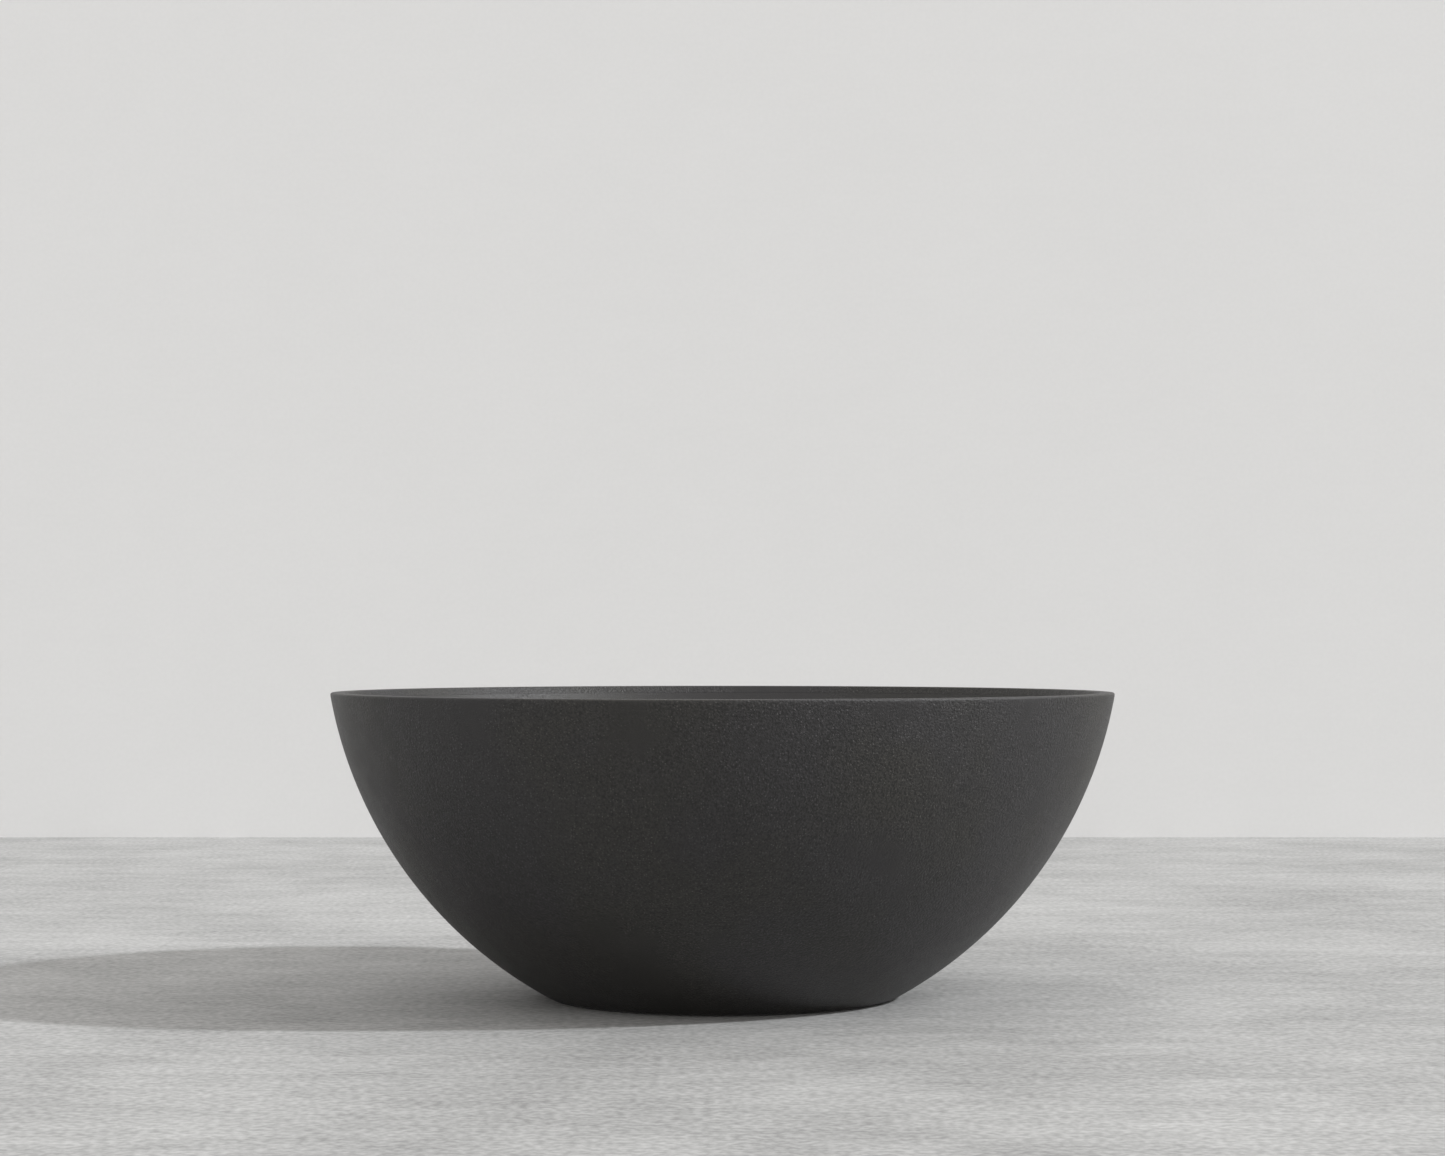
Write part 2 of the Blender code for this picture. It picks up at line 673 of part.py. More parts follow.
def make_plug():
    cap_top = CAP_UNDERSIDE + CAP_EDGE
    cap_profile = [
        (0, cap_top + CAP_DOME),
        (CAP_RADIUS * 0.5, cap_top + CAP_DOME * 0.75),
        (CAP_RADIUS * 0.85, cap_top + CAP_DOME * 0.2),
        (CAP_RADIUS * 0.97, cap_top - CAP_EDGE * 0.3),
        (CAP_RADIUS, cap_top - CAP_EDGE * 0.7),
        (CAP_RADIUS * 0.97, CAP_UNDERSIDE),
        (0, CAP_UNDERSIDE),
    ]
    turned("plug_cap", cap_profile, BRUSHED, ROUND_STEPS, ring=False)
    gasket_top = CAP_UNDERSIDE - BOND_GAP
    gasket_low = gasket_top - GASKET_HEIGHT
    slope = SEAT_WIDTH / (SEAT_DEPTH - FLANGE_THICKNESS / 6)
    room = PLUG_PRESS * slope + 2 * RADIAL_GAP
    low_radius = TUBE_BORE + slope * (gasket_low - FLANGE_TOP + SEAT_DEPTH) - room
    high_radius = low_radius + GASKET_HEIGHT
    gasket_profile = [
        (high_radius, gasket_top),
        (high_radius, gasket_top - GASKET_HEIGHT / 3),
        (low_radius, gasket_low),
        (STEM_HUB_RADIUS + BOND_GAP, gasket_low),
        (STEM_HUB_RADIUS + BOND_GAP, gasket_top),
    ]
    turned("plug_gasket", gasket_profile, RUBBER, ROUND_STEPS)
    stem_profile = [
        (0, gasket_top),
        (STEM_HUB_RADIUS, gasket_top),
        (STEM_HUB_RADIUS, gasket_low),
        (STEM_RADIUS, gasket_low),
        (STEM_RADIUS, STEM_END),
        (0, STEM_END),
    ]
    turned("plug_stem", stem_profile, BRASS, SMALL_STEPS, ring=False)


# ---------------------------------------------------------------- waste body, trap and outlet

TRAP_TOP = BOARD_UNDERSIDE - TRAP_TO_BOARD - LID_HEIGHT - RUBBER_RING / 2 - 2 * BOND_GAP
AXIS_HEIGHT = TRAP_TOP - PIPE_RADIUS - 2 * SOCKET_WALL
BODY_BORE = TUBE_RADIUS + THREAD_GAP
BODY_RADIUS = BODY_BORE + BODY_WALL
OVERFLOW_INLET_HEIGHT = AXIS_HEIGHT
SPIGOT_RADIUS = HOSE_RADIUS - HOSE_WALL - 2 * RADIAL_GAP
OUTLET_BORE = OUTLET_RADIUS - OUTLET_WALL
TRAP_INLET_RADIUS = OUTLET_BORE - RADIAL_GAP
ALONG_X = (0, QUARTER_TURN, 0)
ALONG_Y = (-QUARTER_TURN, 0, 0)


def make_waste_body(nut_low):
    top = nut_low - BOND_GAP
    shoulder = TUBE_END - BODY_FLOOR
    cavity_floor = AXIS_HEIGHT - OUTLET_BORE - BODY_FLOOR / 4
    low = cavity_floor - BODY_FLOOR
    profile = [(0, top), (BODY_RADIUS, top), (BODY_RADIUS, low), (0, low)]
    body = turned("waste_body", profile, WHITE_PLASTIC, ROUND_STEPS, ring=False)
    outlet = {"location": (0, 0, AXIS_HEIGHT), "rotation": ALONG_X}
    inlet = {"location": (0, 0, OVERFLOW_INLET_HEIGHT), "rotation": ALONG_Y}
    spigot_end = BODY_RADIUS + SPIGOT_REACH
    add(
        body,
        prism("outlet_wall", OUTLET_RADIUS, TUBE_BORE, OUTLET_REACH, None, **outlet),
        prism("inlet_wall", SPIGOT_RADIUS, TUBE_BORE, spigot_end, None, SMALL_STEPS, **inlet),
    )
    chamber = [
        (0, top * 1.1),
        (BODY_BORE, top * 1.1),
        (BODY_BORE, shoulder),
        (TUBE_BORE, shoulder),
        (TUBE_BORE, cavity_floor),
        (0, cavity_floor),
    ]
    bore = SPIGOT_RADIUS - SPIGOT_WALL
    cut(
        body,
        turned("waste_chamber", chamber, None, ROUND_STEPS, ring=False),
        prism("outlet_bore", OUTLET_BORE, 0, OUTLET_REACH * 1.1, None, **outlet),
        prism("inlet_bore", bore, 0, spigot_end * 1.1, None, SMALL_STEPS, **inlet),
    )


def make_union(name, seal_name, outer, bore, end, location, steps):
    """A union nut on the end of a tube, and the rubber ring that it squeezes onto the inner pipe."""
    seal_low = end + BOND_GAP
    seal_top = seal_low + RUBBER_RING
    lip_low = seal_top + BOND_GAP
    where = {"location": location, "rotation": ALONG_X}
    sleeve(seal_name, bore, outer, seal_low, seal_top, RUBBER, steps, **where)
    thread = outer + THREAD_GAP
    lip_top = lip_low + NUT_LIP
    start = end - 4 * NUT_LIP
    profile = [
        (thread + NUT_WALL * 0.7, lip_top),
        (thread + NUT_WALL, lip_top - NUT_LIP),
        (thread + NUT_WALL, start),
        (thread, start),
        (thread, lip_low),
        (bore, lip_low),
        (bore, lip_top),
    ]
    turned(name, profile, WHITE_PLASTIC, steps, **where)


def make_trap():
    floor = TRAP_FLOOR_CLEARANCE + TRAP_WALL
    centre = (TRAP_OFFSET, 0, 0)
    outside = [
        (0, TRAP_TOP),
        (TRAP_RADIUS, TRAP_TOP),
        (TRAP_RADIUS, TRAP_FLOOR_CLEARANCE + TRAP_WALL),
        (TRAP_RADIUS - TRAP_WALL, TRAP_FLOOR_CLEARANCE),
        (0, TRAP_FLOOR_CLEARANCE),
    ]
    body = turned("trap_body", outside, WHITE_PLASTIC, ROUND_STEPS, ring=False, location=centre)
    cavity = TRAP_RADIUS - TRAP_WALL
    wall_left = TRAP_OFFSET - cavity
    wall_right = TRAP_OFFSET + cavity
    inlet_start = OUTLET_REACH - TRAP_INLET_OVERLAP
    socket_radius = PIPE_RADIUS + THREAD_GAP + SOCKET_WALL
    pipe_start = OUTLET_SOCKET_REACH - PIPE_DEPTH_IN_SOCKET - BOND_GAP
    where = {"location": (0, 0, AXIS_HEIGHT), "rotation": ALONG_X}
    add(
        body,
        prism("trap_inlet_wall", TRAP_INLET_RADIUS, inlet_start, wall_left, None, **where),
        prism("trap_socket_wall", socket_radius, wall_right, OUTLET_SOCKET_REACH, None, **where),
    )
    inlet_bore = TRAP_INLET_RADIUS - TRAP_INLET_WALL
    beyond = OUTLET_SOCKET_REACH * 1.1
    cut(
        body,
        prism("trap_chamber", cavity, floor, HEIGHT, None, ROUND_STEPS, location=centre),
        prism("trap_inlet_bore", inlet_bore, inlet_start * 0.9, TRAP_OFFSET, None, **where),
        prism("trap_outlet_bore", PIPE_RADIUS - PIPE_WALL, TRAP_OFFSET, beyond, None, **where),
        prism("trap_socket_bore", PIPE_RADIUS + THREAD_GAP, pipe_start, beyond, None, **where),
    )
    seal_low = TRAP_TOP + BOND_GAP
    seal_top = seal_low + RUBBER_RING / 2
    sleeve("trap_lid_seal", cavity, TRAP_RADIUS, seal_low, seal_top, RUBBER, ROUND_STEPS, location=centre)
    lid_low = seal_top + BOND_GAP
    plug_radius = cavity - RADIAL_GAP
    plug_low = lid_low - LID_PLUG_DEPTH
    lid_profile = [
        (0, lid_low + LID_HEIGHT),
        (TRAP_RADIUS - LID_HEIGHT / 4, lid_low + LID_HEIGHT),
        (TRAP_RADIUS, lid_low + LID_HEIGHT * 0.75),
        (TRAP_RADIUS, lid_low),
        (plug_radius, lid_low),
        (plug_radius, plug_low),
        (0, plug_low),
    ]
    lid = turned("trap_lid", lid_profile, GREY_PLASTIC, ROUND_STEPS, ring=False, location=centre)
    baffle_low = floor + BAFFLE_GAP
    depth = plug_low - baffle_low + LID_PLUG_DEPTH / 2
    width = 2 * cavity * 0.95
    middle = (0, 0, baffle_low + depth / 2)
    size = (BAFFLE_THICKNESS, width, depth)
    add(lid, box("baffle", size, middle, None, location=centre))
    sleeve(
        "outlet_pipe",
        PIPE_RADIUS - PIPE_WALL,
        PIPE_RADIUS,
        pipe_start + BOND_GAP,
        FOOT_RING_INNER - PIPE_TO_RING,
        GREY_PLASTIC,
        ROUND_STEPS,
        **where,
    )
    make_union(
        "trap_nut",
        "trap_washer",
        OUTLET_RADIUS,
        TRAP_INLET_RADIUS + THREAD_GAP,
        OUTLET_REACH,
        where["location"],
        SMALL_STEPS,
    )
    make_union(
        "outlet_nut",
        "outlet_seal",
        socket_radius,
        PIPE_RADIUS + THREAD_GAP,
        OUTLET_SOCKET_REACH,
        where["location"],
        ROUND_STEPS,
    )


# ---------------------------------------------------------------- overflow


def make_overflow_axis():
    """An empty on the basin's inner wall, with its Z axis square to the wall and into the tub."""
    radius, lean = overflow_mouth()
    axis = bpy.data.objects.new("overflow_axis", None)
    axis.location = (0, radius, OVERFLOW_HEIGHT)
    axis.rotation_euler = (QUARTER_TURN - lean, 0, 0)
    PARTS.objects.link(axis)
    return axis


def body_axis_depth():
    """How far behind the basin's inner face the spigot of the overflow body lies."""
    back = -BASIN_WALL - 2 * BOND_GAP - RUBBER_RING
    return back - OVERFLOW_BODY_DEPTH * 0.6


def make_overflow_front():
    where = {"parent": OVERFLOW_AXIS}
    low = BOND_GAP - OVERFLOW_SEAT_DEPTH
    top = low + GRID_THICKNESS
    profile = [
        (GRID_RADIUS - GRID_THICKNESS / 3, top),
        (GRID_RADIUS, top - GRID_THICKNESS / 3),
        (GRID_RADIUS, low),
        (OVERFLOW_HOLE_RADIUS - RADIAL_GAP, low),
        (OVERFLOW_HOLE_RADIUS - RADIAL_GAP, top),
    ]
    grid = turned("overflow_grid", profile, BRUSHED, ROUND_STEPS, **where)
    span = OVERFLOW_HOLE_RADIUS + GRID_RADIUS - GRID_THICKNESS
    middle = (low + top) / 2
    thickness = GRID_THICKNESS * 0.9
    add(
        grid,
        box("grid_bar_x", (span, GRID_BAR_WIDTH, thickness), (0, 0, middle), None, **where),
        box("grid_bar_y", (GRID_BAR_WIDTH, span, thickness), (0, 0, middle), None, **where),
        prism("grid_hub", FIXING_HEAD_RADIUS, low, top, None, **where),
    )
    through = 2 * GRID_THICKNESS
    hole = prism("grid_hole", FIXING_RADIUS + THREAD_GAP, -through, through, None, FINE_STEPS, **where)
    cut(grid, hole)

    head_low = top + BOND_GAP
    tip = body_axis_depth()
    screw_profile = [
        (0, head_low + FIXING_HEAD_HEIGHT),
        (FIXING_HEAD_RADIUS * 0.6, head_low + FIXING_HEAD_HEIGHT),
        (FIXING_HEAD_RADIUS, head_low + FIXING_HEAD_HEIGHT / 2),
        (FIXING_HEAD_RADIUS, head_low),
        (FIXING_RADIUS, head_low),
        (FIXING_RADIUS, tip),
        (0, tip),
    ]
    turned("overflow_screw", screw_profile, STEEL, FINE_STEPS, ring=False, **where)

    edge = COVER_STANDOFF + COVER_THICKNESS
    cover_profile = [
        (0, edge + COVER_DOME),
        (COVER_RADIUS * 0.55, edge + COVER_DOME * 0.7),
        (COVER_RADIUS * 0.9, edge),
        (COVER_RADIUS, edge - COVER_THICKNESS * 0.4),
        (COVER_RADIUS, COVER_STANDOFF),
        (0, COVER_STANDOFF),
    ]
    cover = turned("overflow_cover", cover_profile, BRUSHED, ROUND_STEPS, ring=False, **where)
    for index in range(3):
        angle = math.tau * (index + 0.25) / 3
        ring_middle = (OVERFLOW_HOLE_RADIUS + GRID_RADIUS) / 2
        foot = bpy.data.objects.new(f"cover_foot_axis_{index}", None)
        foot.parent = OVERFLOW_AXIS
        foot.location = (ring_middle * math.cos(angle), ring_middle * math.sin(angle), 0)
        CUTTERS.objects.link(foot)
        peg_top = COVER_STANDOFF + COVER_THICKNESS / 2
        peg_name = f"cover_foot_{index}"
        peg = prism(peg_name, COVER_FOOT_RADIUS, head_low, peg_top, None, FINE_STEPS, parent=foot)
        add(cover, peg)


def make_overflow_back():
    where = {"parent": OVERFLOW_AXIS}
    seal_top = -BASIN_WALL - BOND_GAP
    seal_low = seal_top - RUBBER_RING
    cavity = OVERFLOW_BODY_RADIUS - OVERFLOW_BODY_WALL - BOND_GAP
    sleeve(
        "overflow_seal", cavity, OVERFLOW_BODY_RADIUS, seal_low, seal_top, RUBBER, ROUND_STEPS, **where
    )
    top = seal_low - BOND_GAP
    low = top - OVERFLOW_BODY_DEPTH
    floor = low + OVERFLOW_BODY_WALL
    tip = body_axis_depth()
    post = FIXING_RADIUS + THREAD_GAP + OVERFLOW_BODY_WALL / 2
    thread = FIXING_RADIUS + THREAD_GAP
    profile = [
        (0, tip - BOND_GAP),
        (thread, tip - BOND_GAP),
        (thread, top),
        (post, top),
        (post, floor),
        (cavity, floor),
        (cavity, top),
        (OVERFLOW_BODY_RADIUS, top),
        (OVERFLOW_BODY_RADIUS, low),
        (0, low),
    ]
    body = turned("overflow_body", profile, WHITE_PLASTIC, ROUND_STEPS, ring=False, **where)
    spigot = bpy.data.objects.new("overflow_spigot_axis", None)
    spigot.parent = OVERFLOW_AXIS
    spigot.location = (0, 0, tip)
    spigot.rotation_euler = (QUARTER_TURN, 0, 0)
    CUTTERS.objects.link(spigot)
    end = OVERFLOW_BODY_RADIUS + SPIGOT_REACH
    start = cavity + OVERFLOW_BODY_WALL / 3
    bore = SPIGOT_RADIUS - SPIGOT_WALL
    inside = cavity - SPIGOT_WALL
    beyond = end * 1.1
    along = {"sides": SMALL_STEPS, "parent": spigot}
    add(body, prism("spigot_wall", SPIGOT_RADIUS, start, end, None, **along))
    cut(body, prism("spigot_bore", bore, inside, beyond, None, **along))


def spigot_line():
    """The end of the overflow spigot, and its direction away from the body, as (y, z) pairs."""
    radius, lean = overflow_mouth()
    depth = body_axis_depth()
    along = (-math.sin(lean), -math.cos(lean))
    start = (radius - depth * math.cos(lean), OVERFLOW_HEIGHT + depth * math.sin(lean))
    reach = OVERFLOW_BODY_RADIUS + SPIGOT_REACH
    return (start[0] + along[0] * reach, start[1] + along[1] * reach), along


def cavity_middle(height):
    """Halfway between the back of the basin and the inside of the outer shell."""
    if height > HEEL_CENTRE[1] + (HEEL_RADIUS + BASIN_WALL) * math.sin(HEEL_TOP_ANGLE):
        basin_back = radius_at(WALL_CENTRE, WALL_ARC_RADIUS + BASIN_WALL, height)
    else:
        basin_back = radius_at(HEEL_CENTRE, HEEL_RADIUS + BASIN_WALL, height)
    return (basin_back + radius_at(BOWL_CENTRE, SHELL_FACE_RADIUS, height)) / 2


def hose_route():
    """The hose's points in the plane x = 0, from the waste body up to the overflow body."""
    level = OVERFLOW_INLET_HEIGHT
    lower_end = BODY_RADIUS + SPIGOT_REACH
    under_board = BOARD_RADIUS - BOARD_THICKNESS * 4
    route = [
        (lower_end - HOSE_OVERLAP, level),
        (lower_end, level),
        (lower_end + 2 * HOSE_RADIUS, level),
        (under_board * 0.6, level),
        (under_board, level + HOSE_RADIUS / 4),
    ]
    end, along = spigot_line()
    upper = end[1] - 4 * HOSE_RADIUS
    for step in range(5):
        height = HOSE_RISE_START + (upper - HOSE_RISE_START) * step / 4
        route.append((cavity_middle(height), height))
    for reach in (2 * HOSE_RADIUS, 0, -HOSE_OVERLAP):
        route.append((end[0] + along[0] * reach, end[1] + along[1] * reach))
    return route


def make_hose():
    curve = bpy.data.curves.new("overflow_hose", "CURVE")
    curve.dimensions = "3D"
    curve.bevel_depth = HOSE_RADIUS
    curve.bevel_resolution = 2
    curve.resolution_u = 3
    curve.twist_mode = "MINIMUM"
    spline = curve.splines.new("BEZIER")
    route = hose_route()
    spline.bezier_points.add(len(route) - 1)
    for point, (y, z) in zip(spline.bezier_points, route):
        point.co = (0, y, z)
        point.handle_left_type = "AUTO"
        point.handle_right_type = "AUTO"
    hose = place("overflow_hose", curve, GREY_PLASTIC)
    wall = hose.modifiers.new("wall", "SOLIDIFY")
    wall.thickness = HOSE_WALL
    wall.offset = -1.0


def make_hose_clips():
    inner = HOSE_RADIUS + THREAD_GAP
    outer = inner + CLIP_WALL
    low = BODY_RADIUS + SPIGOT_REACH - HOSE_OVERLAP + CLIP_WIDTH / 4
    where = {"location": (0, 0, OVERFLOW_INLET_HEIGHT), "rotation": ALONG_Y}
    sleeve("hose_clip_lower", inner, outer, low, low + CLIP_WIDTH, STEEL, SMALL_STEPS, **where)
    (y, z), along = spigot_line()
    where = {"location": (0, y, z), "rotation": (math.atan2(-along[0], along[1]), 0, 0)}
    top = HOSE_OVERLAP - CLIP_WIDTH / 4
    sleeve("hose_clip_upper", inner, outer, -top, CLIP_WIDTH - top, STEEL, SMALL_STEPS, **where)


# ---------------------------------------------------------------- the assembly

OVERFLOW_AXIS = make_overflow_axis()
make_outer_shell()
make_basin()
make_base_board()
for foot_number, foot_centre in foot_places():
    make_foot(foot_number, foot_centre)
make_waste_flange()
make_waste_body(make_waste_fixings())
make_cartridge()
make_spring()
make_plug()
make_trap()
make_overflow_front()
make_overflow_back()
make_hose()
make_hose_clips()
settle([piece for piece in PARTS.objects if piece.type == "MESH"])
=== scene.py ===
# %% [markdown]
# # A round stone bathtub
# The working model already has every piece at its true size and place: two stone shells, the
# waste, the trap, the overflow and the levelling feet. Its round pieces are faceted, though, and
# its surfaces are plain. This lesson turns each piece again with smooth curves and soft edges,
# and then gives each one the finish of the real thing.
#
# The model is loaded first. It is a fixed frame: nothing in it is moved, so every new piece is
# made in the model's own metres, with the origin on the floor under the middle of the tub.

# %% Load the working model
import json
import math

import bpy
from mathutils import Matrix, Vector

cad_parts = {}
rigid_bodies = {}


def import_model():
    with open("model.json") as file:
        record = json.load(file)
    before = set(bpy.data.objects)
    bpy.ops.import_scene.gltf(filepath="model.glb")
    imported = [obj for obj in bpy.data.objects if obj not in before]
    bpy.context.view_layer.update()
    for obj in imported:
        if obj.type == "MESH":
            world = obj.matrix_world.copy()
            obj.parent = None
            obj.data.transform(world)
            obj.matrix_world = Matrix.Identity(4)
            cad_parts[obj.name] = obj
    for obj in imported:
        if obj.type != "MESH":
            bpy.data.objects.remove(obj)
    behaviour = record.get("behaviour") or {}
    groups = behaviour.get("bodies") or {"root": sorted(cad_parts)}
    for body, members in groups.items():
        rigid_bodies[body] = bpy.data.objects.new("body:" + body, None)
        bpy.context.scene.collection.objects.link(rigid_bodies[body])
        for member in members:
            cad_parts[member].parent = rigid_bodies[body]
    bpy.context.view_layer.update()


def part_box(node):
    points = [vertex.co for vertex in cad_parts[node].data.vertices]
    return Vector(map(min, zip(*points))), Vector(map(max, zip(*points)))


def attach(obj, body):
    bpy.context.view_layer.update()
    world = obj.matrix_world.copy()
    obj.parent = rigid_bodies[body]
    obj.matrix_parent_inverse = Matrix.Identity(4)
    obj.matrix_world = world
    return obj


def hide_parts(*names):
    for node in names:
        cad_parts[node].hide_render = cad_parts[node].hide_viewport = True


for old in list(bpy.data.objects):
    bpy.data.objects.remove(old, do_unlink=True)
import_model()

# %% [markdown]
# ## Camera, light and floor
# The tub is seen from the front, from just above its rim, through a long lens. At this height the
# rim is almost a line, and the bowl's outline is what the eye reads. The lens is shifted up a
# little, as on a view camera, so the wall behind the tub stays upright.
#
# One lamp on the right does the modelling. It is a soft sun, low enough to rake across the stone,
# and a pale sky fills the shadows. Floor and wall are plain: they only catch the shadow and throw
# light back onto the dark stone.

# %% The camera
CAMERA_DISTANCE = 6.054
CAMERA_HEIGHT = 0.6907
LENS_LENGTH = 78.3
LENS_SHIFT = 0.04076

lens = bpy.data.cameras.new("camera")
lens.lens = LENS_LENGTH
lens.shift_y = LENS_SHIFT
camera = bpy.data.objects.new("camera", lens)
camera.location = (0, -CAMERA_DISTANCE, CAMERA_HEIGHT)
camera.rotation_euler = (math.pi / 2, 0, 0)
bpy.context.scene.collection.objects.link(camera)
bpy.context.scene.camera = camera
print("camera", CAMERA_DISTANCE, "m in front,", CAMERA_HEIGHT, "m up")

# %% The lamp and the sky
TOWARDS_LAMP = Vector((1.4648, -0.3793, 1.0))
LAMP_STRENGTH = 2.65
LAMP_COLOUR = (0.97, 0.985, 1.0)
LAMP_SOFTNESS = math.radians(3.0)
SKY_COLOUR = (1.0, 0.98, 0.955, 1.0)
SKY_STRENGTH = 0.93

sun = bpy.data.lights.new("lamp", "SUN")
sun.energy = LAMP_STRENGTH
sun.color = LAMP_COLOUR
sun.angle = LAMP_SOFTNESS
lamp = bpy.data.objects.new("lamp", sun)
lamp.rotation_mode = "QUATERNION"
lamp.rotation_quaternion = TOWARDS_LAMP.to_track_quat("Z", "Y")
bpy.context.scene.collection.objects.link(lamp)

sky = bpy.data.worlds.new("sky")
sky.use_nodes = True
sky.node_tree.nodes["Background"].inputs["Color"].default_value = SKY_COLOUR
sky.node_tree.nodes["Background"].inputs["Strength"].default_value = SKY_STRENGTH
bpy.context.scene.world = sky
bpy.context.scene.view_settings.view_transform = "Standard"
print("lamp and sky are on")

# %% [markdown]
# ## How a material is wired
# Every finish below is a handful of nodes. Two helpers keep the wiring readable: one adds a node
# and plugs things into it, and the other opens a node group. A group is an effect with a name,
# such as grain or tarnish, that several finishes share with their own numbers.

# %% Two helpers for wiring
def add(tree, kind, inputs=None, **settings):
    """Adds a node. Inputs are plain values or other nodes' sockets, by name or number."""
    made = tree.nodes.new("ShaderNode" + kind)
    for name, value in settings.items():
        setattr(made, name, value)
    for name, value in (inputs or {}).items():
        if isinstance(value, bpy.types.NodeSocket):
            tree.links.new(value, made.inputs[name])
        else:
            made.inputs[name].default_value = value
    return made


def maths(tree, operation, *values):
    """One step of arithmetic on values or sockets."""
    return add(tree, "Math", dict(enumerate(values)), operation=operation).outputs[0]


def ramp_between(tree, value, low, high, to_low=0.0, to_high=1.0):
    """Carries a value from one range to another with soft ends."""
    names = {"Value": value, "From Min": low, "From Max": high, "To Min": to_low, "To Max": to_high}
    return add(tree, "MapRange", names, interpolation_type="SMOOTHSTEP").outputs["Result"]


def start_group(name, inputs, outputs):
    """Opens a node group and gives its tree and the sockets that come into it."""
    tree = bpy.data.node_groups.new(name, "ShaderNodeTree")
    for label, value in inputs.items():
        kind = "NodeSocketVector" if value is None else "NodeSocketFloat"
        socket = tree.interface.new_socket(label, in_out="INPUT", socket_type=kind)
        if value is not None:
            socket.default_value = value
    for label in outputs:
        tree.interface.new_socket(label, in_out="OUTPUT", socket_type="NodeSocketFloat")
    return tree, tree.nodes.new("NodeGroupInput").outputs, tree.nodes.new("NodeGroupOutput").inputs


def use_group(tree, group, **inputs):
    """Places a group in a material and plugs its inputs in."""
    made = tree.nodes.new("ShaderNodeGroup")
    made.node_tree = group
    for name, value in inputs.items():
        socket = made.inputs[name.replace("_", " ")]
        if isinstance(value, bpy.types.NodeSocket):
            tree.links.new(value, socket)
        else:
            socket.default_value = value
    return made.outputs


print("wiring helpers are ready")

# %% [markdown]
# ## Effects that finishes share
# **Cloud** is a broad, slow change of tone, as in anything cast or cured. **Grain** is the finest
# unevenness that a hand feels. **Pits** are the pinholes that air leaves in cast stone: they sit
# in patches, with smooth stone between. **Streaks** run one way, as resin drains down a mould or
# as a belt brushes metal. **Turned marks** are the fine rings that a lathe leaves.

# %% Cloud and grain
cloud, given, result = start_group("cloud", {"Vector": None, "Scale": 4.0, "Detail": 3.0}, ["Tone"])
noise = add(
    cloud,
    "TexNoise",
    {"Vector": given["Vector"], "Scale": given["Scale"], "Detail": given["Detail"], "Roughness": 0.55},
)
cloud.links.new(ramp_between(cloud, noise.outputs["Fac"], 0.28, 0.72, -1.0, 1.0), result["Tone"])

grain, given, result = start_group("grain", {"Vector": None, "Scale": 900.0}, ["Tone"])
noise = add(grain, "TexNoise", {"Vector": given["Vector"], "Scale": given["Scale"], "Detail": 2.0})
grain.links.new(ramp_between(grain, noise.outputs["Fac"], 0.25, 0.75, -1.0, 1.0), result["Tone"])
print("made cloud and grain")

# %% Pits in patches
pits, given, result = start_group(
    "pits", {"Vector": None, "Scale": 300.0, "Patch Scale": 6.0, "Cover": 0.5}, ["Pit", "Patch"]
)
cells = add(pits, "TexVoronoi", {"Vector": given["Vector"], "Scale": given["Scale"]})
lottery = add(pits, "SeparateColor", {0: cells.outputs["Color"]}).outputs[0]
chosen = ramp_between(pits, lottery, 0.35, 0.65)
dots = ramp_between(pits, cells.outputs["Distance"], 0.12, 0.34, 1.0, 0.0)
patches = add(
    pits,
    "TexNoise",
    {"Vector": given["Vector"], "Scale": given["Patch Scale"], "Detail": 4.0, "Roughness": 0.6},
)
edge = maths(pits, "SUBTRACT", 0.72, maths(pits, "MULTIPLY", given["Cover"], 0.4))
above = maths(pits, "SUBTRACT", patches.outputs["Fac"], edge)
patch = ramp_between(pits, above, -0.04, 0.10)
pits.links.new(patch, result["Patch"])
dots_kept = maths(pits, "MULTIPLY", dots, chosen)
pits.links.new(maths(pits, "MULTIPLY", dots_kept, patch), result["Pit"])
print("made pits")

# %% Streaks and turned marks
streaks, given, result = start_group(
    "streaks", {"Vector": None, "Across X": 60.0, "Across Y": 60.0, "Across Z": 2.0}, ["Tone"]
)
across = add(streaks, "CombineXYZ", {0: given["Across X"], 1: given["Across Y"], 2: given["Across Z"]})
stretched = add(
    streaks, "VectorMath", {0: given["Vector"], 1: across.outputs[0]}, operation="MULTIPLY"
)
noise = add(
    streaks, "TexNoise", {"Vector": stretched.outputs["Vector"], "Scale": 1.0, "Detail": 3.0}
)
streaks.links.new(ramp_between(streaks, noise.outputs["Fac"], 0.25, 0.75, -1.0, 1.0), result["Tone"])

turned_marks, given, result = start_group("turned_marks", {"Vector": None, "Scale": 2500.0}, ["Tone"])
apart = add(turned_marks, "SeparateXYZ", {0: given["Vector"]}).outputs
flat = add(turned_marks, "CombineXYZ", {0: apart[0], 1: apart[1]})
radius = add(turned_marks, "VectorMath", {0: flat.outputs[0]}, operation="LENGTH").outputs["Value"]
rings = add(turned_marks, "CombineXYZ", {0: radius, 2: apart[2]})
noise = add(
    turned_marks, "TexNoise", {"Vector": rings.outputs[0], "Scale": given["Scale"], "Detail": 2.0}
)
turned_marks.links.new(
    ramp_between(turned_marks, noise.outputs["Fac"], 0.25, 0.75, -1.0, 1.0), result["Tone"]
)
print("made streaks and turned marks")

# %% A material starts here
def start_material(name):
    """A new material with its tree, its main shader and its place in the object's own metres."""
    material = bpy.data.materials.new(name)
    material.use_nodes = True
    tree = material.node_tree
    shader = tree.nodes["Principled BSDF"]
    return material, tree, shader, add(tree, "TexCoord").outputs["Object"]


